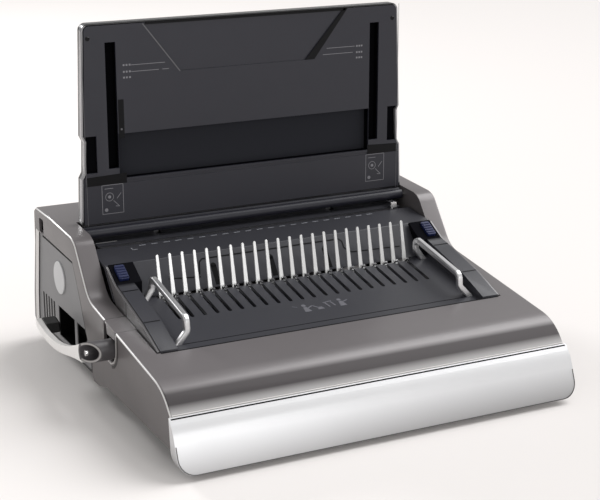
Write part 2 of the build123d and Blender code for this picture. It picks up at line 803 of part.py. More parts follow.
# Control board on four posts, and the larger components on it
board_z = floor_top + 13.0
with BuildPart() as circuit_board:
    with BuildSketch(Plane.XY.offset(board_z)):
        with Locations((-115, 170)):
            Rectangle(116, 56)
    extrude(amount=1.6)
circuit_board.part.label = "circuit_board"
export_step(circuit_board.part, "parts/circuit_board.step")

with BuildPart() as board_parts:
    with BuildSketch(Plane.XY.offset(board_z + 1.6)):
        with Locations((-150, 172)):
            Rectangle(30, 34)
    extrude(amount=26)
    with BuildSketch(Plane.XY.offset(board_z + 1.6)):
        with Locations((-118, 160), (-118, 180)):
            Circle(7)
    extrude(amount=24)
    with BuildSketch(Plane.XY.offset(board_z + 1.6)):
        with Locations((-90, 170)):
            with GridLocations(16, 18, 2, 2):
                Rectangle(11, 13)
    extrude(amount=12)
board_parts.part.label = "board_parts"
export_step(board_parts.part, "parts/board_parts.step")

# Binding unit. Its side views are drawn along the deck (first number) and up from it (second number).
shaft_u, shaft_n = on_deck(lever_y, lever_z)
deck_front_u = on_deck(recess_front + unit_gap, deck_height(recess_front))[0]
arm_ramp_foot = (9.0, 124.0)
arm_ramp_head = (35.5, 138.3)
arm_rear_top = (37.0, 136.2)
arm_side = [
    on_deck(recess_front + unit_gap, deck_height(recess_front) - 3.8),
    on_deck(recess_front + unit_gap, 90),
    on_deck(-68, 105.5),
    on_deck(-15, 118.5),
    on_deck(*arm_ramp_foot),
    on_deck(*arm_ramp_head),
    on_deck(*arm_rear_top),
    on_deck(10.6, 105.2),
    on_deck(8, deck_height(8) - 4),
]
cheek_side = [
    on_deck(9, 106),
    on_deck(*arm_ramp_foot),
    on_deck(*arm_ramp_head),
    on_deck(*arm_rear_top),
    on_deck(11.2, 106),
]
cheek_width = 9.0
rail_inner = 156.0
rail_outer = 166.0
rail_drop = 11.0
hook_bar_top = -4.8
hook_bar_bottom = shaft_n + lever_module * (lever_teeth / 2 + 1.25)
bracket_x = arm_inner - 4.0
bracket_thickness = 3.0
button_x = arm_inner + 9.0
button_width = 11.0
button_length = 21.2
button_proud = 3.0
button_depth = 2.2
button_travel = 2.0


def button_plane(side):
    """The ramp at an arm's rear end, at the middle of its release button."""
    run = arm_ramp_head[0] - arm_ramp_foot[0]
    rise = arm_ramp_head[1] - arm_ramp_foot[1]
    return Plane(
        origin=(side * button_x, arm_ramp_foot[0] + run / 2, arm_ramp_foot[1] + rise / 2),
        x_dir=(1, 0, 0),
        z_dir=(0, -rise, run),
    )


with BuildPart() as binding_deck:
    with BuildSketch(deck_side.offset(-arm_outer)):
        deck_section = [
            (deck_front_u, -deck_thickness),
            (deck_front_u, 0),
            (deck_rear, 0),
            (deck_rear, -deck_thickness),
        ]
        Polygon(*deck_section, align=None)
    extrude(amount=2 * arm_outer)
    with BuildSketch(deck_top):
        with Locations((0, 0)):
            with GridLocations(comb_pitch, 0, tine_count, 1):
                Rectangle(slit_width, deck_rear + 10, align=(Align.CENTER, Align.MIN))
                Circle(slit_width / 2)
    extrude(amount=-deck_thickness, mode=Mode.SUBTRACT)
    for side in (-1, 1):
        with BuildSketch(deck_side.offset(side * arm_inner)):
            Polygon(*arm_side, align=None)
        extrude(amount=side * arm_width)
        with BuildSketch(deck_side.offset(side * (arm_inner - cheek_width))):
            Polygon(*cheek_side, align=None)
        extrude(amount=side * cheek_width)
        with BuildSketch(deck_side.offset(side * rail_inner)):
            with Locations((deck_rear, -deck_thickness)):
                Rectangle(8, deck_thickness, align=(Align.MIN, Align.MIN))
        extrude(amount=side * (arm_inner - rail_inner))
        with BuildSketch(deck_side.offset(side * rail_inner)):
            with Locations((-8, -rail_drop)):
                Rectangle(deck_rear + 8, 2, align=(Align.MIN, Align.MIN))
        extrude(amount=side * (rail_outer - rail_inner))
        with BuildSketch(deck_side.offset(side * (rail_outer - 4))):
            with Locations((-8, -rail_drop)):
                Rectangle(deck_rear + 8, rail_drop, align=(Align.MIN, Align.MIN))
        extrude(amount=side * 4)
        with BuildSketch(deck_side.offset(side * bracket_x)):
            with Locations((shaft_u, shaft_n)):
                Circle(9)
                Rectangle(18, -shaft_n - 1, align=(Align.CENTER, Align.MIN))
                Circle(shaft_radius + running_gap, mode=Mode.SUBTRACT)
        extrude(amount=side * bracket_thickness)
        with BuildSketch(button_plane(side)):
            Rectangle(button_width + 2 * seat_gap, button_length + 2 * seat_gap)
        extrude(amount=-button_depth - button_travel - seat_gap, mode=Mode.SUBTRACT)
binding_deck.part.label = "binding_deck"
export_step(binding_deck.part, "parts/binding_deck.step")

# Tine bar with its row of polished tines, leaning back
with BuildPart() as tine_bar:
    with BuildSketch(deck_side.offset(-rail_outer - 4)):
        with Locations((deck_rear + 4, -deck_thickness)):
            Rectangle(tine_bar_width, tine_bar_height, align=(Align.MIN, Align.MAX))
    extrude(amount=2 * (rail_outer + 4))
tine_bar.part.label = "tine_bar"
export_step(tine_bar.part, "parts/tine_bar.step")

lean = radians(tine_lean)
tine_y = deck_y + (deck_rear + 4 + tine_bar_width / 2) * cos(slope) + deck_thickness * sin(slope) - 0.6
tine_z = deck_z + (deck_rear + 4 + tine_bar_width / 2) * sin(slope) - deck_thickness * cos(slope) + 0.3
tine_plane = Plane(origin=(0, tine_y, tine_z), x_dir=(1, 0, 0), z_dir=(0, -cos(lean), sin(lean)))
with BuildPart() as tines:
    with BuildSketch(tine_plane):
        with GridLocations(comb_pitch, 0, tine_count, 1):
            tine_face = [
                (-tine_base / 2, 0),
                (tine_base / 2, 0),
                (tine_tip / 2, tine_length - 1),
                (tine_tip / 2 - 0.8, tine_length),
                (0.8 - tine_tip / 2, tine_length),
                (-tine_tip / 2, tine_length - 1),
            ]
            Polygon(*tine_face, align=None)
    extrude(amount=tine_thickness / 2, both=True)
tines.part.label = "tines"
export_step(tines.part, "parts/tines.step")

# Hooks on their bar, with a rack at each end under the bar
hook_rear = deck_rear + 3.4
lever_root_half = lever_module * (pi / 4 - 0.12 + 1.25 * tan(radians(20)))
lever_tip_half = lever_module * (pi / 4 - 0.12 - tan(radians(20)))
bar_front_u = deck_rear - 20.0
rack_x = 120.0
rack_width = 12.0
with BuildPart() as hook_bar:
    with BuildSketch(deck_side.offset(-rail_outer + 4.6)):
        with Locations((bar_front_u, hook_bar_top)):
            Rectangle(hook_rear - bar_front_u, hook_bar_top - hook_bar_bottom, align=(Align.MIN, Align.MAX))
    extrude(amount=2 * (rail_outer - 4.6))
    hook_plane = Plane(
        origin=(0, deck_y + hook_rear * cos(slope), deck_z + hook_rear * sin(slope)),
        x_dir=(1, 0, 0),
        z_dir=(0, -cos(slope), -sin(slope)),
    )
    with BuildSketch(hook_plane):
        with GridLocations(comb_pitch, 0, tine_count, 1):
            hook_face = [
                (-1.8, hook_bar_top),
                (-0.2, hook_bar_top),
                (-0.2, -3.2),
                (1.8, -3.2),
                (1.8, -1.8),
                (-0.2, -1.8),
                (-0.2, 0.5),
                (3.2, 0.5),
                (3.2, 2.0),
                (-1.8, 2.0),
            ]
            Polygon(*hook_face, align=None)
    extrude(amount=hook_thickness)
    for side in (-1, 1):
        with BuildSketch(deck_side.offset(side * rack_x - rack_width / 2)):
            with Locations((shaft_u - 11, hook_bar_top)):
                Rectangle(bar_front_u - shaft_u + 12, hook_bar_top - hook_bar_bottom, align=(Align.MIN, Align.MAX))
            rack_tooth = [
                (-lever_root_half, 0.2),
                (lever_root_half, 0.2),
                (lever_tip_half, -2.25 * lever_module),
                (-lever_tip_half, -2.25 * lever_module),
            ]
            for step in range(-3, 12):
                with Locations((shaft_u + step * pi * lever_module, hook_bar_bottom)):
                    Polygon(*rack_tooth, align=None)
        extrude(amount=rack_width)
hook_bar.part.label = "hook_bar"
export_step(hook_bar.part, "parts/hook_bar.step")

# Lever shaft across the unit, with its end in the hub
hub_inner = -recess_half - 1.0
shaft_end = bracket_x + bracket_thickness + 3
with BuildPart() as lever_shaft:
    with BuildSketch(Plane.YZ.offset(hub_inner)):
        with Locations((lever_y, lever_z)):
            Circle(shaft_radius)
    extrude(amount=shaft_end - hub_inner)
lever_shaft.part.label = "lever_shaft"
export_step(lever_shaft.part, "parts/lever_shaft.step")

# Two pinions under the racks, with a gap between two teeth straight towards each rack
lever_root = lever_module * (lever_teeth / 2 - 1.25)
for name, side in (("pinion_left", -1), ("pinion_right", 1)):
    with BuildPart() as pinion:
        with BuildSketch(deck_side.offset(side * rack_x - rack_width / 2 + 0.5)):
            with Locations((shaft_u, shaft_n)):
                Circle(lever_root)
                Circle(shaft_radius, mode=Mode.SUBTRACT)
                with PolarLocations(0, lever_teeth, start_angle=90 + 180 / lever_teeth):
                    Polygon(*tooth_outline(lever_module, lever_root), align=None)
        extrude(amount=rack_width - 1)
    pinion.part.label = name
    export_step(pinion.part, "parts/" + name + ".step")

# Hub outside the wall: a neck with an obliquely cut and hollowed end
hub_face_x = -250.5
hub_outer = -257.5
hub_slant = 45.0
hub_bore = 8.2
with BuildPart() as lever_hub:
    with BuildSketch(Plane.YZ.offset(hub_inner)):
        with Locations((lever_y, lever_z)):
            Circle(neck_radius)
    extrude(amount=hub_outer - hub_inner)
    hub_cut = Plane(
        origin=(hub_face_x, lever_y, lever_z),
        z_dir=(-cos(radians(hub_slant)), -sin(radians(hub_slant)), 0),
    )
    split(bisect_by=hub_cut, keep=Keep.BOTTOM)
    with BuildSketch(Plane.YZ.offset(hub_face_x + 14)):
        with Locations((lever_y, lever_z)):
            Circle(hub_bore)
    extrude(amount=-30, mode=Mode.SUBTRACT)
lever_hub.part.label = "lever_hub"
export_step(lever_hub.part, "parts/lever_hub.step")

# Arm that sweeps back from the hub beside the housing
arm_thickness = 6.0
arm_end_y = lever_y + lever_reach
with BuildPart() as lever_arm:
    with BuildSketch(Plane.YZ.offset(lever_arm_x - arm_thickness / 2)):
        with BuildLine():
            arm_top = Spline(
                (lever_y + 6, lever_z + 9.0),
                (-12, 72.5),
                (22, 61.5),
                (60, 56),
                (92, 57.5),
                (arm_end_y, 62),
            )
            arm_tip = Line(arm_top @ 1, (arm_end_y + 2, 54.5))
            arm_bottom = Spline(
                arm_tip @ 1,
                (97, 49.5),
                (66, 47),
                (30, 50.5),
                (-6, 58),
                (lever_y + 2, lever_z - 10.6),
            )
            Line(arm_bottom @ 1, arm_top @ 0)
        make_face()
        with Locations((lever_y, lever_z)):
            Circle(neck_radius + 0.01, mode=Mode.SUBTRACT)
    extrude(amount=arm_thickness)
lever_arm.part.label = "lever_arm"
export_step(lever_arm.part, "parts/lever_arm.step")

# Faceted grip on the arm's inner side
grip_reach = 17.0
with BuildPart() as lever_grip:
    with BuildSketch(Plane.YZ.offset(lever_arm_x + arm_thickness / 2)):
        grip_face = [
            (arm_end_y - 20, 49.5),
            (arm_end_y - 17, 60),
            (arm_end_y - 2, 63),
            (arm_end_y + 5, 57.5),
            (arm_end_y, 49),
            (arm_end_y - 10, 46.5),
        ]
        Polygon(*grip_face, align=None)
    extrude(amount=grip_reach)
    grip_end = lever_grip.faces().sort_by(Axis.X)[-1]
    chamfer(grip_end.edges(), 2.5)
lever_grip.part.label = "lever_grip"
export_step(lever_grip.part, "parts/lever_grip.step")

# Bridge that closes the lever slot over the neck and lifts off with the unit
bridge_half = lever_slot_radius - 0.7
top_slope = (99.8 - 94.5) / 43
bridge_front_z = 94.5 + (lever_slot_y - bridge_half + 60) * top_slope
bridge_rear_z = 94.5 + (lever_slot_y + bridge_half + 60) * top_slope
with BuildPart() as bridge_cover:
    with BuildSketch(Plane.YZ.offset(-half_width)):
        bridge_section = [
            (lever_slot_y - bridge_half, bridge_front_z - wall),
            (lever_slot_y - bridge_half, bridge_front_z),
            (lever_slot_y + bridge_half, bridge_rear_z),
            (lever_slot_y + bridge_half, bridge_rear_z - wall),
        ]
        Polygon(*bridge_section, align=None)
    extrude(amount=half_width - arm_outer - trim_thickness)
    bridge_edges = bridge_cover.edges().filter_by(lambda edge: abs(edge.center().X + half_width) < 0.01)
    fillet(bridge_edges.sort_by(Axis.Z)[-1], edge_round - 0.2)
    with BuildSketch(Plane.YZ.offset(-half_width)):
        bridge_skirt = [
            (lever_slot_y - bridge_half, bridge_front_z - wall),
            (lever_slot_y + bridge_half - 6, bridge_rear_z - wall - 0.7),
            (lever_slot_y + bridge_half - 8, lever_z + neck_radius + 1),
            (lever_slot_y - bridge_half + 1, lever_z + neck_radius + 1),
        ]
        Polygon(*bridge_skirt, align=None)
    extrude(amount=wall)
bridge_cover.part.label = "bridge_cover"
export_step(bridge_cover.part, "parts/bridge_cover.step")

# Glossy trims on the outer sides of the unit's arms
for name, side in (("arm_trim_left", -1), ("arm_trim_right", 1)):
    with BuildPart() as arm_trim:
        with BuildSketch(deck_side.offset(side * arm_outer)):
            Polygon(*inset(arm_side, 1.2), align=None)
        extrude(amount=side * trim_thickness)
    arm_trim.part.label = name
    export_step(arm_trim.part, "parts/" + name + ".step")

# Ribbed release buttons, which sink into the rear ends of the arms
rib_pitch = 3.8
for name, side in (("release_button_left", -1), ("release_button_right", 1)):
    with BuildPart() as release_button:
        with BuildSketch(button_plane(side).offset(-button_depth)):
            RectangleRounded(button_width, button_length, 2)
        extrude(amount=button_depth + button_proud)
        with BuildSketch(button_plane(side).offset(button_proud)):
            with GridLocations(0, rib_pitch, 1, 5):
                Rectangle(button_width - 1.5, 1.6)
        extrude(amount=0.9)
    release_button.part.label = name
    export_step(release_button.part, "parts/" + name + ".step")

# Chrome bails, bent from square bar, with their feet on the deck
bail_size = 6.4
for name, side in (("bail_left", -1), ("bail_right", 1)):
    with BuildPart() as bail:
        with BuildLine():
            bail_path = FilletPolyline(
                (side * 174.5, -93.2, 85.5),
                (side * 162, -91.5, 99),
                (side * 162, -90, 112),
                (side * 162, 4, 129),
                (side * 162, 3.6, 116),
                (side * 173, 2.5, 101),
                radius=6.5,
            )
        with BuildSketch(Plane(origin=bail_path @ 0, x_dir=(0, 1, 0), z_dir=bail_path % 0)):
            RectangleRounded(bail_size, bail_size, 1.8)
        sweep()
        split(bisect_by=deck_top.offset(0.2), keep=Keep.TOP)
    bail.part.label = name
    export_step(bail.part, "parts/" + name + ".step")

# Drawer front: a leaning panel with side returns that meet the walls' front edges
front_gap = 0.9
drawer_half = drawer_width / 2
drawer_brow = (-211.0, 46.5)
drawer_round = 40.0
drawer_section = [
    (lip_y - front_gap, lip_z - 1.2),
    (lip_y - 3.5 - front_gap, skirt_z),
    (-213, drawer_bottom),
    (-227, drawer_bottom),
    drawer_brow,
]


def drawer_view(points, depth):
    """A side view of the drawer front at a depth under its skin, with its brow rounded."""
    with BuildSketch() as view:
        Polygon(*points, align=None)
        fillet(view.vertices().sort_by_distance((*drawer_brow, 0))[0], drawer_round - depth)
    return view.sketch


with BuildPart() as drawer_front:
    with BuildSketch(Plane.YZ.offset(-drawer_half)):
        add(drawer_view(drawer_section, 0))
    extrude(amount=drawer_width)
    with BuildSketch(Plane.XZ.offset(235)):
        with Locations((0, drawer_bottom)):
            Rectangle(drawer_width + 2, 70, align=(Align.CENTER, Align.MIN))
        with Locations((0, drawer_bottom)):
            RectangleRounded(drawer_width, 120, drawer_corner, align=(Align.CENTER, Align.MIN), mode=Mode.SUBTRACT)
    extrude(amount=-45, mode=Mode.SUBTRACT)
    with BuildSketch(Plane.YZ.offset(-drawer_half + drawer_corner)):
        add(drawer_view(inset(drawer_section, drawer_wall), drawer_wall))
        with Locations((-208, drawer_bottom + drawer_wall)):
            Rectangle(20, 36, align=(Align.MIN, Align.MIN))
    extrude(amount=drawer_width - 2 * drawer_corner, mode=Mode.SUBTRACT)
drawer_front.part.label = "drawer_front"
export_step(drawer_front.part, "parts/drawer_front.step")

# Drawer tray that catches the chips, with two tabs behind the front
tray_bottom = floor_top + seat_gap
tray_front = lip_y + 4.0
with BuildPart() as drawer_tray:
    with BuildSketch(Plane.XY.offset(tray_bottom)):
        with Locations((0, tray_front)):
            Rectangle(2 * drawer_tray_half, drawer_tray_rear - tray_front, align=(Align.CENTER, Align.MIN))
    extrude(amount=drawer_tray_top - tray_bottom)
    with BuildSketch(Plane.XY.offset(tray_bottom + drawer_wall)):
        with Locations((0, tray_front + drawer_wall)):
            Rectangle(
                2 * (drawer_tray_half - drawer_wall),
                drawer_tray_rear - tray_front - 2 * drawer_wall,
                align=(Align.CENTER, Align.MIN),
            )
    extrude(amount=drawer_tray_top, mode=Mode.SUBTRACT)
    with BuildSketch(Plane.XY.offset(28)):
        with Locations((0, tray_front)):
            with GridLocations(220, 0, 2, 1):
                Rectangle(24, tray_front + 212.8, align=(Align.CENTER, Align.MAX))
    extrude(amount=4)
drawer_tray.part.label = "drawer_tray"
export_step(drawer_tray.part, "parts/drawer_tray.step")

# Lid outline, wider at its hinge than at its top, with a finger notch in each side edge
notch_low = 221.0
notch_high = 262.0
notch_lead = 6.0
notch_cut = 3.2


def lid_edge(height, cut):
    """A point of the lid's right edge at a height, cut in by a distance."""
    lean = (lid_width_bottom - lid_width_top) / 2 / (lid_top - lid_bottom)
    return lid_width_bottom / 2 - (height - lid_bottom) * lean - cut, height


lid_right_edge = [
    lid_edge(lid_top, 0),
    lid_edge(notch_high, 0),
    lid_edge(notch_high - notch_lead, notch_cut),
    lid_edge(notch_low, notch_cut),
    lid_edge(notch_low - notch_lead, 0),
    lid_edge(lid_bottom, 0),
]
lid_left_edge = [(-x, z) for x, z in reversed(lid_right_edge)]
lid_outline_points = lid_left_edge + lid_right_edge
lid_back = lid_face_y + lid_thickness
liner_back = lid_back - 3.2
tine_pocket_low = 212.0
tine_pocket_high = 262.0
tine_pocket_half = 156.0
tine_pocket_depth = 11.0
bail_slot_low = 224.0
bail_slot_high = 363.0
bail_slot_width = 12.0
bail_slot_x = 162.3
bail_slot_depth = 10.0
notch_inner = 181.5
notch_depth = 4.0

# Lid shell: the outer casing with a rim round the liner
with BuildPart() as lid_shell:
    with BuildSketch(Plane.XZ.offset(-lid_back)):
        Polygon(*lid_outline_points, align=None)
        fillet(vertices().group_by(Axis.Y)[-1], lid_corner)
    extrude(amount=lid_thickness - 1.2)
    fillet(lid_shell.faces().sort_by(Axis.Y)[-1].outer_wire().edges(), 2.5)
    with BuildSketch(Plane.XZ.offset(-lid_back + 2.8)):
        Polygon(*inset(lid_outline_points, lid_skin), align=None)
        fillet(vertices().group_by(Axis.Y)[-1], lid_corner - lid_skin)
    extrude(amount=lid_thickness, mode=Mode.SUBTRACT)
lid_shell.part.label = "lid_shell"
export_step(lid_shell.part, "parts/lid_shell.step")

# Lid liner: the inner face with pockets that clear the tines and the bails when the lid is down
with BuildPart() as lid_liner:
    with BuildSketch(Plane.XZ.offset(-liner_back)):
        Polygon(*inset(lid_outline_points, lid_skin + seat_gap), align=None)
        fillet(vertices().group_by(Axis.Y)[-1], lid_corner - lid_skin - seat_gap)
    extrude(amount=liner_back - lid_face_y)
    with BuildSketch(Plane.XZ.offset(-liner_back)):
        Polygon(*inset(lid_outline_points, lid_skin + seat_gap + 2.5), align=None)
    extrude(amount=liner_back - lid_face_y - 2.5, mode=Mode.SUBTRACT)
    with BuildSketch(Plane.XZ.offset(-lid_face_y)):
        with Locations((0, (tine_pocket_low + tine_pocket_high) / 2)):
            Rectangle(2 * tine_pocket_half + 4, tine_pocket_high - tine_pocket_low + 4)
        with Locations((0, (bail_slot_low + bail_slot_high) / 2)):
            with GridLocations(2 * bail_slot_x, 0, 2, 1):
                Rectangle(bail_slot_width + 3, bail_slot_high - bail_slot_low + 3)
    extrude(amount=-(liner_back - lid_face_y))
    with BuildSketch(Plane.XZ.offset(-lid_face_y)):
        with Locations((0, (tine_pocket_low + tine_pocket_high) / 2)):
            Rectangle(2 * tine_pocket_half, tine_pocket_high - tine_pocket_low)
    extrude(amount=-tine_pocket_depth, mode=Mode.SUBTRACT)
    with BuildSketch(Plane.XZ.offset(-lid_face_y)):
        with Locations((0, (bail_slot_low + bail_slot_high) / 2)):
            with GridLocations(2 * bail_slot_x, 0, 2, 1):
                Rectangle(bail_slot_width, bail_slot_high - bail_slot_low)
    extrude(amount=-bail_slot_depth, mode=Mode.SUBTRACT)
    for side in (-1, 1):
        with BuildSketch(Plane.XZ.offset(-lid_face_y)):
            with Locations((side * (notch_inner + 12.5), (notch_low + notch_high) / 2)):
                Rectangle(30, notch_high - notch_low + 5)
            Polygon(*inset(lid_outline_points, lid_skin + seat_gap), align=None, mode=Mode.INTERSECT)
        extrude(amount=-notch_depth - 2.5)
        with BuildSketch(Plane.XZ.offset(-lid_face_y)):
            with Locations((side * (notch_inner + 15), (notch_low + notch_high) / 2)):
                Rectangle(30, notch_high - notch_low)
        extrude(amount=-notch_depth, mode=Mode.SUBTRACT)
    with BuildSketch(Plane.XZ.offset(-lid_face_y)):
        crest = [(-124, lid_top - 4), (124, lid_top - 4), (81.5, 326), (-81.5, 326)]
        Polygon(*crest, align=None)
    extrude(amount=-1.2, mode=Mode.SUBTRACT)
    with BuildSketch(Plane.XZ.offset(-lid_face_y)):
        with Locations((0, 208)):
            Rectangle(lid_width_bottom, 3)
    extrude(amount=-0.8, mode=Mode.SUBTRACT)
lid_liner.part.label = "lid_liner"
export_step(lid_liner.part, "parts/lid_liner.step")

# Hinge barrel with a web that reaches up into the lid
barrel_half = recess_half - 2.5
with BuildPart() as lid_barrel:
    with BuildSketch(Plane.YZ.offset(-barrel_half)):
        with Locations((lid_hinge_y, lid_hinge_z)):
            Circle(barrel_radius)
        web_section = [
            (lid_hinge_y + 1, lid_hinge_z + 2),
            (lid_face_y + 1, lid_bottom),
            (lid_back - 2, lid_bottom),
            (lid_back - 2, lid_bottom - 2),
            (lid_hinge_y + 4, lid_hinge_z - 2),
        ]
        Polygon(*web_section, align=None)
        with Locations((lid_hinge_y, lid_hinge_z)):
            Circle(pin_radius + running_gap, mode=Mode.SUBTRACT)
    extrude(amount=2 * barrel_half)
lid_barrel.part.label = "lid_barrel"
export_step(lid_barrel.part, "parts/lid_barrel.step")

# Hinge pins with round heads, held in the shoulders' inner walls
for name, side in (("hinge_pin_left", -1), ("hinge_pin_right", 1)):
    with BuildPart() as hinge_pin:
        with BuildSketch(Plane.YZ.offset(side * (barrel_half - 12))):
            with Locations((lid_hinge_y, lid_hinge_z)):
                Circle(pin_radius)
        extrude(amount=side * (recess_half + wall - barrel_half + 12))
        with BuildSketch(Plane.YZ.offset(side * (recess_half + wall))):
            with Locations((lid_hinge_y, lid_hinge_z)):
                Circle(pin_radius + 1.6)
        extrude(amount=side * 2)
    hinge_pin.part.label = name
    export_step(hinge_pin.part, "parts/" + name + ".step")

# Edge guide that slides along the bright strip and squares the sheets
guide_x = 176.0
guide_clear = 0.35
guide_height = 7.0
guide_leg = 20.0
with BuildPart() as edge_guide:
    with BuildSketch(Plane.YZ.offset(guide_x)):
        guide_section = [
            (slot_front + 0.4, strip_z + strip_thickness + guide_clear),
            (slot_front + 0.4, strip_z + strip_thickness + guide_height),
            (slot_rear + 6, strip_z + strip_thickness + guide_height),
            (slot_rear + 7.5, strip_z + strip_thickness + 2.5),
            (slot_rear + 7.5, strip_z + strip_thickness + guide_clear),
        ]
        Polygon(*guide_section, align=None)
    extrude(amount=8)
    with BuildSketch(Plane.YZ.offset(guide_x)):
        with Locations((slot_y, strip_z + strip_thickness + guide_height - guide_leg)):
            Rectangle(slot_width - 2 * guide_clear - 0.4, guide_leg, align=(Align.CENTER, Align.MIN))
    extrude(amount=3)
edge_guide.part.label = "edge_guide"
export_step(edge_guide.part, "parts/edge_guide.step")
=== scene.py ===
# Electric comb binding machine: its finishes, its small moulded details, its painted shade and highlights,
# the studio and the camera.
import json
import math

import bmesh
import bpy
from mathutils import Matrix, Vector


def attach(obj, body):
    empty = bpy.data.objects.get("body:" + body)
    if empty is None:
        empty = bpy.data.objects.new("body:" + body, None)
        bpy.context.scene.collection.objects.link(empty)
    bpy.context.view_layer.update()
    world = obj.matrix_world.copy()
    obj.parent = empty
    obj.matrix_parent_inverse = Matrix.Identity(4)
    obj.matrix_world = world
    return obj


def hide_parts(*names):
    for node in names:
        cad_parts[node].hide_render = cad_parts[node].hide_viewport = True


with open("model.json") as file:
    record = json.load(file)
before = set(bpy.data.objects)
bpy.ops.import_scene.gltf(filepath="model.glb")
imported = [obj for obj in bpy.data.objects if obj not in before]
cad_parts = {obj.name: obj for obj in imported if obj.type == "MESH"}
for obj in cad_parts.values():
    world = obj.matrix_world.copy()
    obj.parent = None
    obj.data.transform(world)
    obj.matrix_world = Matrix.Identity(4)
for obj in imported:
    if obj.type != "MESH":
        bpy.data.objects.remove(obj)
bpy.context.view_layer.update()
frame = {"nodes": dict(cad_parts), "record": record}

# Base tray
# The black moulded tray is the floor of the machine. It is injection moulded, with a fine spark-eroded grain
# under its rim, and the shell's skirt hangs over it.
MM = 0.001


def new_group(name, sockets_in, sockets_out):
    """An empty shader node group with its sockets, and its input and output nodes."""
    group = bpy.data.node_groups.new(name, "ShaderNodeTree")
    for label, kind, default in sockets_in:
        socket = group.interface.new_socket(name=label, in_out="INPUT", socket_type=kind)
        socket.default_value = default
    for label, kind in sockets_out:
        group.interface.new_socket(name=label, in_out="OUTPUT", socket_type=kind)
    return group, group.nodes.new("NodeGroupInput"), group.nodes.new("NodeGroupOutput")


def add_noise(tree, coords, detail=3.0):
    """A noise texture on the given coordinates."""
    noise = tree.nodes.new("ShaderNodeTexNoise")
    noise.inputs["Detail"].default_value = detail
    tree.links.new(coords, noise.inputs["Vector"])
    return noise


def add_math(tree, operation, first, second):
    """The result of a maths node on two numbers or sockets."""
    node = tree.nodes.new("ShaderNodeMath")
    node.operation = operation
    for value, socket in ((first, node.inputs[0]), (second, node.inputs[1])):
        if isinstance(value, (int, float)):
            socket.default_value = value
        else:
            tree.links.new(value, socket)
    return node.outputs[0]


def build_skin_group():
    """Cloudy colour, uneven gloss and a fine grain, as on a moulded or sprayed skin."""
    tree, start, end = new_group(
        "Skin",
        [
            ("Colour", "NodeSocketColor", (0.5, 0.5, 0.5, 1.0)),
            ("Cloud", "NodeSocketFloat", 0.05),
            ("Roughness", "NodeSocketFloat", 0.4),
            ("Uneven", "NodeSocketFloat", 0.06),
            ("Grain Scale", "NodeSocketFloat", 900.0),
        ],
        [("Colour", "NodeSocketColor"), ("Roughness", "NodeSocketFloat"), ("Height", "NodeSocketFloat")],
    )
    coords = tree.nodes.new("ShaderNodeTexCoord").outputs["Object"]
    cloud = add_noise(tree, coords)
    cloud.inputs["Scale"].default_value = 14.0
    swing = add_math(tree, "SUBTRACT", cloud.outputs["Fac"], 0.5)
    cloud_swing = add_math(tree, "MULTIPLY", swing, start.outputs["Cloud"])
    shade = add_math(tree, "ADD", cloud_swing, 1.0)
    tint = tree.nodes.new("ShaderNodeVectorMath")
    tint.operation = "SCALE"
    tree.links.new(start.outputs["Colour"], tint.inputs[0])
    tree.links.new(shade, tint.inputs["Scale"])
    tree.links.new(tint.outputs["Vector"], end.inputs["Colour"])
    patch = add_noise(tree, coords)
    patch.inputs["Scale"].default_value = 45.0
    drift = add_math(tree, "SUBTRACT", patch.outputs["Fac"], 0.5)
    gloss_swing = add_math(tree, "MULTIPLY", drift, start.outputs["Uneven"])
    gloss = add_math(tree, "ADD", gloss_swing, start.outputs["Roughness"])
    tree.links.new(gloss, end.inputs["Roughness"])
    grain = add_noise(tree, coords, 2.0)
    tree.links.new(start.outputs["Grain Scale"], grain.inputs["Scale"])
    tree.links.new(grain.outputs["Fac"], end.inputs["Height"])
    return tree


skin_group = build_skin_group()


def skin_material(
    name, colour, roughness, cloud=0.08, uneven=0.08, grain=900.0, relief=0.12, metallic=0.0, coat=0.0, specular=0.5
):
    """A skin-grouped surface with its own colour, gloss, grain and clear coat."""
    material = bpy.data.materials.new(name)
    material.use_nodes = True
    tree = material.node_tree
    shader = tree.nodes["Principled BSDF"]
    shader.inputs["Metallic"].default_value = metallic
    shader.inputs["Coat Weight"].default_value = coat
    shader.inputs["Specular IOR Level"].default_value = specular
    shader.inputs["Coat Roughness"].default_value = 0.08
    skin = tree.nodes.new("ShaderNodeGroup")
    skin.node_tree = skin_group
    skin.inputs["Colour"].default_value = (*colour, 1.0)
    skin.inputs["Cloud"].default_value = cloud
    skin.inputs["Roughness"].default_value = roughness
    skin.inputs["Uneven"].default_value = uneven
    skin.inputs["Grain Scale"].default_value = grain
    bump = tree.nodes.new("ShaderNodeBump")
    bump.inputs["Strength"].default_value = relief
    bump.inputs["Distance"].default_value = 0.1 * MM
    tree.links.new(skin.outputs["Colour"], shader.inputs["Base Color"])
    tree.links.new(skin.outputs["Roughness"], shader.inputs["Roughness"])
    tree.links.new(skin.outputs["Height"], bump.inputs["Height"])
    tree.links.new(bump.outputs["Normal"], shader.inputs["Normal"])
    return material


def finish_node(node, material):
    """Gives a solid that stays as it is its material."""
    mesh = frame["nodes"][node].data
    mesh.materials.clear()
    mesh.materials.append(material)


base_black = skin_material("base black", (0.018, 0.018, 0.02), 0.55, grain=1400, relief=0.3)
finish_node("base_tray", base_black)

# Feet
# Four soft rubber feet are screwed to the corners of the tray, and a fifth stands under the die, where the
# punches press down. The rubber is matt and slightly dusty.
foot_rubber = skin_material("foot rubber", (0.02, 0.02, 0.021), 0.8, cloud=0.3, grain=700, relief=0.4)
for corner in ("front_left", "front_right", "rear_left", "rear_right", "centre"):
    finish_node("foot_" + corner, foot_rubber)
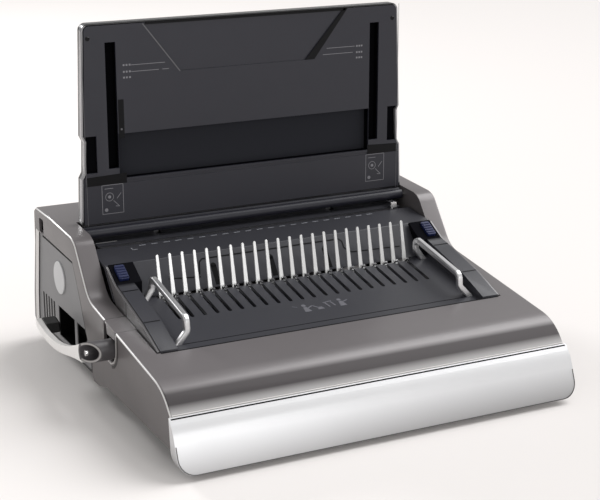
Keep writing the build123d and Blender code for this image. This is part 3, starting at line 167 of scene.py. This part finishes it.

# Upper shell
# One large moulding makes the front deck, both shoulders and the rear. It is sprayed in a warm taupe with a
# fine metal flake. Its side walls take a darker copy of the paint as painted shade, its upper side edges carry a
# light painted highlight, and its brow a painted shade above a pale painted reflection on its lip.
body_of = {node: body for body, nodes in frame["record"]["behaviour"]["bodies"].items() for node in nodes}


def shade_beyond(material, axis, start, end, colour, flat=True, mirrored=True):
    """Turns a surface towards a second colour between two places along an axis, in millimetres.

    A flat shade also loses its shine, and a mirrored one counts from the middle to both sides.
    """
    tree = material.node_tree
    place = tree.nodes.new("ShaderNodeSeparateXYZ")
    tree.links.new(tree.nodes.new("ShaderNodeTexCoord").outputs["Object"], place.inputs[0])
    span = tree.nodes.new("ShaderNodeMapRange")
    span.inputs["From Min"].default_value = start * MM
    span.inputs["From Max"].default_value = end * MM
    reading = add_math(tree, "ABSOLUTE", place.outputs[axis], 0.0) if mirrored else place.outputs[axis]
    tree.links.new(reading, span.inputs["Value"])
    blend = tree.nodes.new("ShaderNodeMix")
    blend.data_type = "RGBA"
    shader = tree.nodes["Principled BSDF"]
    tree.links.new(span.outputs["Result"], blend.inputs["Factor"])
    tree.links.new(shader.inputs["Base Color"].links[0].from_socket, blend.inputs["A"])
    blend.inputs["B"].default_value = (*colour, 1.0)
    tree.links.new(blend.outputs["Result"], shader.inputs["Base Color"])
    if flat:
        left_over = add_math(tree, "SUBTRACT", 1.0, span.outputs["Result"])
        gloss = add_math(tree, "MULTIPLY", left_over, shader.inputs["Specular IOR Level"].default_value)
        tree.links.new(gloss, shader.inputs["Specular IOR Level"])


def soften_node(node, material, radius, segments=2):
    """A merged copy of a solid with its edges rounded, which stands for that solid."""
    sharp = math.radians(28.0)
    mesh = frame["nodes"][node].data.copy()
    mesh.name = node + "_skin"
    mesh.materials.clear()
    mesh.materials.append(material)
    merge_reach, flat_angle = 0.004 * MM, math.radians(0.6)
    form = bmesh.new()
    form.from_mesh(mesh)
    bmesh.ops.remove_doubles(form, verts=form.verts, dist=merge_reach)
    bmesh.ops.dissolve_limit(form, angle_limit=flat_angle, verts=form.verts, edges=form.edges)
    form.to_mesh(mesh)
    form.free()
    mesh.shade_smooth()
    mesh.set_sharp_from_angle(angle=sharp)
    piece = bpy.data.objects.new(node + "_skin", mesh)
    bpy.context.scene.collection.objects.link(piece)
    bevel = piece.modifiers.new("Rounded edges", "BEVEL")
    bevel.width = radius * MM
    bevel.segments = segments
    bevel.limit_method = "ANGLE"
    bevel.angle_limit = sharp
    bevel.harden_normals = True
    bevel.use_clamp_overlap = True
    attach(piece, body_of[node])
    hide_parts(node)
    return piece


shell_paint = skin_material(
    "shell paint", (0.175, 0.162, 0.166), 0.32, cloud=0.05, uneven=0.06, grain=2600, relief=0.04, metallic=0.12,
    coat=0.05,
)
# The brow's dark band is painted shade, and the lip's pale band is a painted reflection that keeps its gloss.
brow_painted_shade, lip_painted_reflection = (0.085, 0.079, 0.081), (0.55, 0.54, 0.54)
shade_beyond(shell_paint, "Y", -178, -184, brow_painted_shade, mirrored=False)
shade_beyond(shell_paint, "Y", -193, -200.5, lip_painted_reflection, flat=False, mirrored=False)
# A darker copy of the shell paint on the side walls is painted shade; the light edge colour is painted highlight.
shaded_wall_paint = skin_material(
    "shaded wall paint", (0.135, 0.124, 0.125), 0.34, cloud=0.05, grain=2600, relief=0.06, coat=0.08, specular=0.3
)
edge_highlight = skin_material("edge highlight", (0.85, 0.84, 0.83), 0.3, grain=2600, relief=0.02, metallic=0.2)


def part_sides(piece, edge_material, wall_material):
    """Gives a piece's side walls one material, and the edges between them and its upper skin another."""
    piece.data.materials.append(edge_material)
    piece.data.materials.append(wall_material)
    form = bmesh.new()
    form.from_mesh(piece.data)
    edge_depth = 4.0 * MM
    reach = max(abs(corner.co.x) for corner in form.verts)
    for face in form.faces:
        near = min(abs(corner.co.x) for corner in face.verts) > reach - edge_depth
        upward = face.normal.z > 0.08 or face.normal.y < -0.3
        if near and upward and 0.5 < abs(face.normal.x) < 0.9:
            face.material_index = 1
        elif near and abs(face.normal.x) > 0.5:
            face.material_index = 2
    form.to_mesh(piece.data)
    form.free()


# part_sides gives the upper side edges the painted highlight and the side walls the painted shade.
shell_skin = soften_node("upper_shell", shell_paint, 0.7)
part_sides(shell_skin, edge_highlight, shaded_wall_paint)
soften_node("bridge_cover", shell_paint, 0.5)

# Side panels
# A satin grey moulded panel is set into each side wall, with a dark line of painted shadow in the gap along its
# edge. Its cooling slots are black bars of painted shade, its two hand windows look into a pocket darkened as
# painted shade, and a light round cap closes its fixing hole.
def place_at(origin, across, up):
    """The placement whose first and second axes run along two directions, from an origin in millimetres."""
    across = Vector(across).normalized()
    up = Vector(up).normalized()
    placement = Matrix((across, up, across.cross(up))).transposed().to_4x4()
    placement.translation = Vector(origin) * MM
    return placement


def plate(name, outlines, placement, thickness, material, body, round_off=0.0):
    """Makes one piece of flat plates, their outlines in millimetres on a placement's first two axes."""
    form = bmesh.new()
    for outline in outlines:
        corners = [form.verts.new(placement @ Vector((u * MM, v * MM, 0))) for u, v in outline]
        base = form.faces.new(corners)
        raised = bmesh.ops.extrude_face_region(form, geom=[base])["geom"]
        lifted = [item for item in raised if isinstance(item, bmesh.types.BMVert)]
        bmesh.ops.translate(form, verts=lifted, vec=placement.to_3x3() @ Vector((0, 0, thickness * MM)))
    bmesh.ops.recalc_face_normals(form, faces=form.faces)
    if round_off:
        bmesh.ops.bevel(form, geom=form.edges, offset=round_off * MM, segments=2, affect="EDGES", profile=0.5)
    mesh = bpy.data.meshes.new(name)
    form.to_mesh(mesh)
    form.free()
    mesh.materials.append(material)
    piece = bpy.data.objects.new(name, mesh)
    bpy.context.scene.collection.objects.link(piece)
    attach(piece, body)


def bar(left, bottom, right, top):
    """The outline of an upright rectangle."""
    return [(left, bottom), (right, bottom), (right, top), (left, top)]


def stroke(start, end, width):
    """The outline of a straight line of a width between two points."""
    run = Vector(end) - Vector(start)
    side = Vector((-run.y, run.x)).normalized() * width / 2
    corners = (Vector(start) - side, Vector(end) - side, Vector(end) + side, Vector(start) + side)
    return [(corner.x, corner.y) for corner in corners]


def line(points, width):
    """The outlines of a bent line of a width through several points."""
    return [stroke(first, second, width) for first, second in zip(points, points[1:])]


panel_grey = skin_material("panel grey", (0.22, 0.22, 0.226), 0.45, grain=1600, relief=0.12, specular=0.3)
# Inward of the panel's face the colour turns near black: painted shade in the pocket behind the hand windows.
shade_beyond(panel_grey, "X", 221.9, 220.9, (0.006, 0.006, 0.006))
cap_grey = skin_material("cap grey", (0.55, 0.56, 0.57), 0.35, grain=1200, relief=0.05)
opening_shade_black = skin_material("opening shade black", (0.004, 0.004, 0.004), 0.6, grain=1500, relief=0.05, specular=0.1)
panel_edge = [(32.5, 24), (32.5, 36), (45.5, 59), (64.5, 97), (84, 130.6), (190, 133.6)]
vent_places = (157.8, 167.4, 177, 186.6, 196.2)
vent_half, vent_foot, vent_head, gap_width = 2.2, 30, 64.5, 2.2
# Black bars in the cooling slots and a dark line along the panel's edge gap are painted shade.
for side, turn in (("left", -1), ("right", 1)):
    soften_node("side_panel_" + side, panel_grey, 0.4)
    soften_node("side_cap_" + side, cap_grey, 0.3)
    wall = place_at((turn * 222.15, 0, 0), (0, turn, 0), (0, 0, 1))
    panel_shade_outlines = [bar(turn * y - vent_half, vent_foot, turn * y + vent_half, vent_head) for y in vent_places]
    panel_shade_outlines += line([(turn * y, z) for y, z in panel_edge], gap_width)
    plate("panel_shades_" + side, panel_shade_outlines, wall, 0.3, opening_shade_black, "housing")

# Rear cover
# The flat moulded cover at the back takes the mains inlet and the power switch. Four pan-head steel screws
# hold it, and the rocker tips in a cradle behind it.
rear_grey = skin_material("rear grey", (0.1, 0.1, 0.105), 0.5, grain=1500, relief=0.2)
inlet_black = skin_material("inlet black", (0.015, 0.015, 0.016), 0.4, grain=1500, relief=0.1)
screw_steel = skin_material("screw steel", (0.5, 0.5, 0.51), 0.32, metallic=1.0, grain=1500, relief=0.05)
finish_node("rear_cover", rear_grey)
finish_node("power_inlet", inlet_black)
finish_node("rocker_cradle", inlet_black)
soften_node("power_rocker", inlet_black, 0.5)
finish_node("cover_screws", screw_steel)

# Throat
# The sloping panel behind the tines bends into the ledge where the sheets stand. Behind the slot lies a dark
# bent strip with a lip, along which the edge guide runs.
charcoal = skin_material(
    "charcoal plastic", (0.048, 0.0485, 0.057), 0.34, cloud=0.1, grain=1800, relief=0.12, specular=0.3
)
soften_node("throat_ledge", charcoal, 0.8)
finish_node("throat_strip", charcoal)

# Marks on the throat
# A row of pale dashes shows the punching pitch on the ledge, with a stop mark at its left end. The sloping
# panel's rounded moulded outline, two seams and three narrow finger recesses are black strokes of painted
# shade. The white line on the strip's left end is a painted glint.
def disc(centre, radius):
    """The outline of a round plate."""
    steps = 20
    turns = [2 * math.pi * step / steps for step in range(steps)]
    return [(centre[0] + radius * math.cos(turn), centre[1] + radius * math.sin(turn)) for turn in turns]


mark_grey = skin_material("mark grey", (0.33, 0.34, 0.37), 0.5, grain=900, relief=0.02)
# Black strokes of painted shade stand for grooves, seams and recesses.
groove_shade_black = skin_material("groove shade black", (0.004, 0.004, 0.005), 0.5, grain=1500, relief=0.1, specular=0.1)
ledge_top = place_at((0, 40, 136.45), (1, 0, 0), (0, 45.6, 5.6))
comb_pitch, dash_half, dash_row = 14.2875, 3.7, 40
middles = [comb_pitch * step for step in range(-10, 11)]
dashes = [stroke((middle - dash_half, dash_row), (middle + dash_half, dash_row), 1.2) for middle in middles]
dashes.append(stroke((-158, 31), (-152, 31), 1.0))
dashes.append(stroke((-157.5, 36), (-157.5, 31), 1.0))
plate("ledge_dashes", dashes, ledge_top, 0.12, mark_grey, "housing")
strip_end = place_at((0, 100, 143.01), (1, 0, 0), (0, 1, 0))
# A white stroke of painted glint on the strip's left end.
strip_glint_white = skin_material("strip glint white", (0.85, 0.85, 0.85), 0.4, grain=900, relief=0.02)
plate("painted_strip_glint", [stroke((-189, 2.4), (-164, 2.4), 1.2)], strip_end, 0.04, strip_glint_white, "housing")
slope = place_at((0, 12.5, 103.55), (1, 0, 0), (0, 27.5, 32.9))
grooves = line([(-98.7, 17.4), (-95, 32), (-91, 35.2), (77.9, 35.6), (81.4, 32), (81.4, 24), (89, 17.6)], 1.7)
grooves.append(stroke((-134.8, 17.6), (-98, 14.5), 1.4))
grooves.append(stroke((89, 17.6), (152, 16.0), 1.4))
finger_half, finger_foot, finger_head = 3.2, 3, 26
for middle in (-80, -11, 57):
    grooves.append(bar(middle - finger_half, finger_foot, middle + finger_half, finger_head))
    grooves.append(disc((middle, finger_head), finger_half))
plate("throat_grooves", grooves, slope, 0.12, groove_shade_black, "housing")

# Punching works
# Die, guide, frame plates and shafts are machined steel with a light film of oil, and the punches are ground
# bright. Gears and eccentrics are brass. The works are bolted between the two frame plates.
machined_steel = skin_material(
    "machined steel", (0.42, 0.42, 0.43), 0.36, metallic=1.0, cloud=0.2, grain=1200, relief=0.1
)
bright_steel = skin_material("bright steel", (0.82, 0.82, 0.82), 0.2, metallic=1.0, grain=2500, relief=0.05)
gear_brass = skin_material("gear brass", (0.6, 0.44, 0.18), 0.35, metallic=1.0, cloud=0.15, grain=900, relief=0.1)
board_green = skin_material("board green", (0.02, 0.13, 0.05), 0.35, cloud=0.3, grain=300, relief=0.2)
component_black = skin_material("component black", (0.02, 0.02, 0.022), 0.45, grain=1500, relief=0.1)
for works in ("die_block", "punch_guide", "frame_plate_left", "frame_plate_right", "punch_bar", "camshaft"):
    finish_node(works, machined_steel)
for works in ("gearmotor", "motor_bracket"):
    finish_node(works, machined_steel)
for works in ("eccentric_left", "eccentric_right", "cam_gear", "motor_pinion"):
    finish_node(works, gear_brass)
finish_node("punches", bright_steel)
finish_node("circuit_board", board_green)
finish_node("board_parts", component_black)

# Binding unit
# The lift-off deck is moulded in charcoal plastic and carries the polished steel tines over a row of slits for
# the hooks. Two arms rise at its sides, black at their rear ends, with sprayed trims on their outer faces.
deck_charcoal = charcoal.copy()
deck_charcoal.name = "deck charcoal"
shade_beyond(deck_charcoal, "Y", 3, 9, (0.008, 0.008, 0.01), mirrored=False)
soften_node("binding_deck", deck_charcoal, 0.7)
finish_node("tine_bar", machined_steel)
polished_tine = skin_material("polished tine", (0.96, 0.96, 0.96), 0.2, metallic=0.35, grain=1500, relief=0.03)
soften_node("tines", polished_tine, 0.3)
trim_grey = skin_material("trim grey", (0.15, 0.145, 0.15), 0.3, metallic=0.3, coat=0.2, grain=2600, relief=0.04)
for side in ("left", "right"):
    soften_node("arm_trim_" + side, trim_grey, 0.5)

# Marks of the binding unit
# Dark strokes of painted shade stand for the moulded grooves inside the deck's front edge and on the shell in
# front of it, and for the seams that cross each arm and its trim. Pale printed strokes on the deck show a comb
# being hooked on. They carry no words.
# The deck groove, the recess line, the arm seams and the trim seams are dark strokes of painted shade.
deck_plane = place_at((0, -43.5, 96.05), (1, 0, 0), (0, 0.98466, 0.17451))
plate("deck_groove", [bar(-168, -53.2, 168, -52.3)], deck_plane, 0.12, groove_shade_black, "binding_unit")
rim_top = place_at((0, -112.9, 88.05), (1, 0, 0), (0, 0.993, 0.122))
plate("recess_line", [bar(-199, -0.9, 199, 0.8)], rim_top, 0.12, groove_shade_black, "housing")
arm_plane = place_at((0, -67, 105.79), (1, 0, 0), (0, 0.971, 0.238))
arm_middle, arm_half = 190, 9
arm_darks = [
    bar(side * arm_middle - arm_half, foot, side * arm_middle + arm_half, head)
    for foot, head in ((-0.7, 0.7), (62, 63.2))
    for side in (-1, 1)
]
plate("arm_seams", arm_darks, arm_plane, 0.15, groove_shade_black, "binding_unit")
for side, turn in (("left", -1), ("right", 1)):
    trim_plane = place_at((turn * 201.8, -24, 0), (0, turn, 0), (0, 0, 1))
    seam = [bar(-0.6, 86, 0.6, 114.5)]
    plate("trim_seam_" + side, seam, trim_plane, 0.12, groove_shade_black, "binding_unit")
deck_print = skin_material("deck print", (0.13, 0.13, 0.15), 0.5, grain=900, relief=0.02)
figure = [
    [(-21, -9), (-13, -9), (-15, 1), (-19, 1)],
    disc((-17, 4.5), 2.6),
    stroke((-15, -2), (-8, 2), 1.6),
    stroke((-8, 2), (-3, -4), 1.6),
    [(-5, -8), (3, -8), (1, -3), (-3, -3)],
    stroke((6, 4), (17, 6), 1.4),
    stroke((8, 4), (10, -6), 1.6),
    stroke((15, 5.5), (17, -5), 1.6),
    [(22, -8), (30, -8), (28, 2), (24, 2)],
    disc((26, 5.5), 2.4),
    stroke((28, 0), (35, 3), 1.5),
    stroke((-30, 6), (-25, 3), 0.9),
]
figure_plane = place_at((3, -63.5, 92.5), (1, 0, 0), (0, 0.98466, 0.17451))
plate("deck_figures", figure, figure_plane, 0.12, deck_print, "binding_unit")

# Bails
# Two handles of square steel bar are bent, polished and chromed. Their ends are fixed in the deck, and the
# binding unit is lifted off by them.
chrome = skin_material("chrome", (0.74, 0.74, 0.75), 0.32, metallic=0.85, cloud=0.04, grain=1800, relief=0.03)
for side in ("left", "right"):
    finish_node("bail_" + side, chrome)

# Release buttons
# Navy rubber buttons with cross ribs sit on springs in the rear ends of the arms. Pressing both frees the
# binding unit.
navy_rubber = skin_material("navy rubber", (0.011, 0.018, 0.075), 0.5, grain=900, relief=0.2, specular=0.3)
for side in ("left", "right"):
    soften_node("release_button_" + side, navy_rubber, 0.4)

# Hooks and lever works
# The hook bar is pressed from bright steel sheet, and its racks run on two machined pinions on the lever's
# shaft, which turns in the binding unit.
finish_node("hook_bar", bright_steel)
for works in ("lever_shaft", "pinion_left", "pinion_right"):
    finish_node(works, machined_steel)

# Binding lever
# A dark neck comes out of the side wall and ends in an obliquely cut hub. A flat satin-silver arm sweeps back
# from it to a dark faceted grip.
lever_silver = skin_material("lever silver", (0.96, 0.95, 0.93), 0.3, grain=2200, relief=0.05, coat=0.2)
neck_grey = skin_material("neck grey", (0.09, 0.085, 0.09), 0.35, grain=1400, relief=0.08)
soften_node("lever_hub", neck_grey, 0.8)
soften_node("lever_arm", lever_silver, 1.2, 3)
grip_grey = skin_material("grip grey", (0.024, 0.024, 0.024), 0.4, grain=1800, relief=0.06, specular=0.25)
soften_node("lever_grip", grip_grey, 0.8)

# Details of the lever's side
# The slot for the neck has a raised lip like a long letter U, light as painted highlight, with a dark band of
# painted shade along its outer side. A light rim runs round the hub's cut end, and the end of the steel shaft
# shines inside it.
def arc(centre, radius, turns):
    """The points of an arc at several turns in degrees."""
    angles = [math.radians(turn) for turn in turns]
    return [(centre[0] + radius * math.cos(angle), centre[1] + radius * math.sin(angle)) for angle in angles]


# The lip's light colour is painted highlight, and the band beside it is painted shade.
lip_highlight_paint = skin_material("lip highlight paint", (0.5, 0.49, 0.48), 0.3, grain=2600, relief=0.04, coat=0.3)
lip_plane = place_at((-225.6, 0, 0), (0, -1, 0), (0, 0, 1))
hub_place, slot_foot = (-42.5, 74), (38, 76)
lip_strokes = line([(57.5, 93), (57, 76)] + arc(slot_foot, 19, (-20, -50, -80, -110, -140)), 1.5)
plate("slot_lip", lip_strokes, lip_plane, 0.8, lip_highlight_paint, "housing")
shade_strokes = line([(61, 92), (60.6, 76)] + arc(slot_foot, 22.6, (-20, -40, -60, -80)), 3.2)
lip_shade = skin_material("lip shade", (0.06, 0.056, 0.056), 0.5, grain=2600, relief=0.04, specular=0.2)
plate("slot_lip_shade", shade_strokes, lip_plane, 0.2, lip_shade, "housing")
shaft_end = place_at((-251.5, *hub_place), (0, -1, 0), (0, 0, 1))
plate("shaft_end", [disc((0, 0), 3.2)], shaft_end, 3.0, bright_steel, "lever", 0.4)
rim_silver = skin_material("rim silver", (0.42, 0.41, 0.4), 0.35, grain=2200, relief=0.05)
cut_face = place_at((-250.5, *hub_place), (1, -1, 0), (0, 0, 1))
rim_radius, cut_stretch = 9.6, 13.6 / 9.6
rim_path = [(cut_stretch * u, v) for u, v in arc((0, 0), rim_radius, range(-126, 127, 12))]
plate("hub_rim", line(rim_path, 1.9), cut_face, 0.25, rim_silver, "lever")

# Drawer
# The drawer's front is a sprayed bright silver panel the full width of the machine, darker towards the bottom as
# painted shade, with a dark seam of painted shade above it and a dark rim of painted shade below; a light strip
# of painted highlight lies on the shell's lip above the seam. Its black moulded tray catches the chips.
front_silver = skin_material(
    "front silver", (0.82, 0.825, 0.84), 0.3, cloud=0.03, uneven=0.05, grain=2800, relief=0.04, metallic=0.3, coat=0.2
)
tray_black = skin_material("tray black", (0.03, 0.03, 0.032), 0.5, grain=1300, relief=0.2)
# The front darkens towards its bottom: painted shade.
shade_beyond(front_silver, "Z", 36, 8, (0.42, 0.415, 0.42), flat=False, mirrored=False)
soften_node("drawer_front", front_silver, 0.8)
# A dark strip of painted shade fills the seam between the drawer and the shell.
seam_slope = place_at((0, -202.35, 56.15), (1, 0, 0), (0, 0.67, 0.75))
plate("drawer_seam", [bar(-225.4, -0.7, 225.4, 0.75)], seam_slope, 0.15, opening_shade_black, "drawer")
# A thin dark line of painted shade runs round the front's lower and side edges.
drawer_edge_shade = skin_material("drawer edge shade", (0.07, 0.068, 0.068), 0.4, grain=1800, relief=0.04)
rim_path = [(-226.4, 36), (-226.4, 23.8)] + arc((-209.4, 23.8), 17, range(180, 271, 15))
rim_path += [(-x, z) for x, z in reversed(rim_path)]
rim_plane = place_at((0, -229.35, 0.2), (1, 0, 0), (0, 0.37, 0.93))
plate("drawer_rim", line(rim_path, 0.9), rim_plane, 0.3, drawer_edge_shade, "drawer")
# A light strip of painted highlight lies on the shell's lip above the seam.
lip_front = place_at((0, -200.3, 58.9), (1, 0, 0), (0, 0.1, 0.99))
plate("shell_lip_edge", [bar(-223.5, -0.4, 223.5, 0.5)], lip_front, 0.2, edge_highlight, "housing")
finish_node("drawer_tray", tray_black)

# Lid
# The lid is a sprayed silver casing, dark at its back and its rims, round a moulded charcoal liner with pockets
# for the tines and the bails, darkened inside as painted shade. It turns on a dark barrel and two steel pins
# between the shoulders.
lid_charcoal = skin_material("lid charcoal", (0.0145, 0.015, 0.0245), 0.45, cloud=0.1, grain=1500, relief=0.15)
liner_charcoal = lid_charcoal.copy()
liner_charcoal.name = "liner charcoal"
# Deeper than the liner's face the pockets darken as painted shade; the wide pocket's floor turns back to charcoal.
shade_beyond(liner_charcoal, "Y", 109.6, 111.5, (0.004, 0.004, 0.005))
shade_beyond(liner_charcoal, "Y", 118.3, 118.7, (0.03, 0.031, 0.037), flat=False)
casing_grey = skin_material(
    "casing grey", (0.3, 0.3, 0.31), 0.3, cloud=0.05, uneven=0.05, grain=2400, relief=0.05, metallic=0.4, coat=0.4
)
rim_dark = (0.02, 0.02, 0.022)
shade_beyond(casing_grey, "Y", 115.2, 115.8, (0.008, 0.008, 0.009))
shade_beyond(casing_grey, "Z", 381.5, 382.3, rim_dark, mirrored=False)
shade_beyond(casing_grey, "Z", 168, 166, rim_dark, mirrored=False)
soften_node("lid_shell", casing_grey, 0.6)
soften_node("lid_liner", liner_charcoal, 0.5)
soften_node("lid_barrel", lid_charcoal, 0.4)
for side in ("left", "right"):
    finish_node("hinge_pin_" + side, bright_steel)

# Printed marks on the lid
# Sheet-size lines and two small pictures of how a sheet is laid in are printed in pale grey. They are drawn
# plainly, with circles and strokes, and carry no words.
print_grey = skin_material("print grey", (0.22, 0.22, 0.24), 0.5, grain=900, relief=0.02)
lid_face = place_at((0, 108.0, 0), (1, 0, 0), (0, 0, 1))
thin = 0.6
size_lines = [
    stroke((-139, 336.8), (-99.5, 336.8), thin),
    stroke((-139, 329.5), (-107, 329.5), thin),
    stroke((-103, 329.5), (-95, 329.5), thin),
    stroke((100, 337.2), (136.5, 337.2), thin),
    stroke((95, 330.2), (134, 330.2), thin),
]
letter_width, letter_half = 2.0, 1.0
for level in (337.2, 329.9, 323.6):
    for left in (-148.5, -145.2, -141.6, 138.4, 141.6, 144.6):
        size_lines.append(bar(left, level - letter_half, left + letter_width, level + letter_half))
plate("lid_size_lines", size_lines, lid_face, 0.12, print_grey, "lid")
frame_foot, frame_head, frame_width = 173.5, 206, 24.5
for side, left in (("left", -177.4), ("right", 153.2)):
    right = left + frame_width
    picture = [
        stroke((left, frame_foot), (right, frame_foot), thin),
        stroke((left, frame_head), (right, frame_head), thin),
        stroke((left, frame_foot - thin / 2), (left, frame_head + thin / 2), thin),
        stroke((right, frame_foot - thin / 2), (right, frame_head + thin / 2), thin),
        stroke((left + 3, 202), (left + 13, 202), thin),
        disc((left + 4.5, 178), 2.0),
        stroke((left + 13, 188), (left + 20, 181), 0.7),
        stroke((left + 20, 181), (left + 15.5, 181.5), 0.7),
        stroke((left + 17, 190), (left + 22, 196), 0.7),
    ]
    wheel = (left + 8.5, 192.5)
    for turn in range(0, 360, 15):
        picture += line(arc(wheel, 4.6, (turn, turn + 16)), thin)
    picture.append(disc(wheel, 1.8))
    plate("lid_picture_" + side, picture, lid_face, 0.12, print_grey, "lid")

# Moulded details of the lid
# Dark steps of painted shade stand above the pictures. The crest at the top is sunk between bevelled edges,
# drawn as painted shade on its right bevel and its top and as painted highlight on its left bevel. A narrow track
# of painted shade with a detent dot of painted highlight stands beside the left slot. Two screws hold the liner
# near the top, drawn as dark discs of painted shade with a painted glint each, and painted highlights run up
# the lid's side edges.
lid_shade_black = skin_material("lid shade black", (0.005, 0.005, 0.006), 0.5, grain=1500, relief=0.1, specular=0.15)
lit_edge = skin_material("lit edge", (0.11, 0.11, 0.12), 0.4, grain=1500, relief=0.05)
# Black shapes of painted shade: the steps, the crest's right bevel and top, the narrow track and the screws.
lid_shades = [
    [(-194.5, 206.5), (-148, 206.5), (-148, 218), (-194.5, 216.5)],
    [(155, 206.5), (194.5, 206.5), (194.5, 216.5), (155, 218)],
    [(127, 382), (122, 382), (72, 326), (84, 326)],
    bar(-122, 379.4, 124, 382.0),
    bar(-155.4, 257, -148.9, 300),
    disc((-187.4, 368.5), 2.6),
    disc((186, 366.7), 2.6),
]
plate("lid_painted_shades", lid_shades, lid_face, 0.1, lid_shade_black, "lid")
# Light strokes of painted highlight: the crest's left bevel, the screws' glints, the detent dot and the side edges.
lid_highlight_strokes = [
    stroke((-124.5, 380.6), (-82, 325.8), 1.3),
    stroke((-187.8, 370.6), (-185.2, 370.0), thin),
    stroke((185.6, 368.8), (188.2, 368.2), thin),
    bar(-153.2, 266, -151.2, 268),
    stroke((-194.6, 162), (-194.6, 383), 0.5),
    stroke((194.6, 162), (194.6, 383), 0.5),
]
raised_face = place_at((0, 107.9, 0), (1, 0, 0), (0, 0, 1))
plate("lid_highlights", lid_highlight_strokes, raised_face, 0.1, lit_edge, "lid")

# Edge guide
# A small guide is bent from bright steel sheet. It slides along the throat strip and squares the sheets at
# their side.
soften_node("edge_guide", bright_steel, 0.4)

# Studio
# A pale paper floor and a pale surround. A broad sun from the upper right throws the soft shade to the left, one
# lamp behind edges the lid and shoulders, and one in front fills the drawer.
floor_reach = 6.0
floor_form = bmesh.new()
bmesh.ops.create_grid(floor_form, x_segments=1, y_segments=1, size=floor_reach)
floor_mesh = bpy.data.meshes.new("floor")
floor_form.to_mesh(floor_mesh)
floor_form.free()
floor = bpy.data.objects.new("floor", floor_mesh)
bpy.context.scene.collection.objects.link(floor)
floor_paper = bpy.data.materials.new("floor paper")
floor_paper.use_nodes = True
floor_shader = floor_paper.node_tree.nodes["Principled BSDF"]
floor_shader.inputs["Base Color"].default_value = (0.79, 0.76, 0.745, 1.0)
floor_shader.inputs["Roughness"].default_value = 0.9
floor_shader.inputs["Emission Color"].default_value = (1.0, 0.985, 0.97, 1.0)
floor_shader.inputs["Emission Strength"].default_value = 0.05
floor_mesh.materials.append(floor_paper)

world = bpy.data.worlds.new("studio")
bpy.context.scene.world = world
world.use_nodes = True
background = world.node_tree.nodes["Background"]
background.inputs["Color"].default_value = (1.0, 0.99, 0.98, 1.0)
background.inputs["Strength"].default_value = 0.47


def soft_lamp(name, place, aim, size, power):
    """A square soft lamp that faces a point."""
    data = bpy.data.lights.new(name, "AREA")
    data.energy = power
    data.size = size
    lamp = bpy.data.objects.new(name, data)
    bpy.context.scene.collection.objects.link(lamp)
    lamp.location = place
    lamp.rotation_euler = (Vector(aim) - Vector(place)).to_track_quat("-Z", "Y").to_euler()


soft_lamp("rim", (-0.9, 2.6, 1.45), (-0.1, 0, 0.1), 0.6, 30)
soft_lamp("front", (0.5, -2.6, 0.9), (0, 0, 0.05), 1.2, 9)
sun_data = bpy.data.lights.new("key", "SUN")
sun_data.energy = 2.4
sun_data.angle = math.radians(50)
sun = bpy.data.objects.new("key", sun_data)
bpy.context.scene.collection.objects.link(sun)
sun.rotation_euler = Vector((-0.85, -0.06, -1.0)).to_track_quat("-Z", "Y").to_euler()

# Camera
# It stands in front and to the left, a little above the lid's middle, with the photograph's angle and frame. Its
# place comes from the comb's pitch and the body's edges in the photograph.
camera_elevation, camera_turn = 16.8, -26.6
camera_data = bpy.data.cameras.new("camera")
camera_data.sensor_width = 36.0
camera_data.lens = 92.37
camera = bpy.data.objects.new("camera", camera_data)
bpy.context.scene.collection.objects.link(camera)
camera.location = (-0.7158, -1.4525, 0.6267)
camera.rotation_euler = (math.radians(90 - camera_elevation), 0, math.radians(camera_turn))
bpy.context.scene.camera = camera
bpy.context.scene.view_settings.view_transform = "Standard"
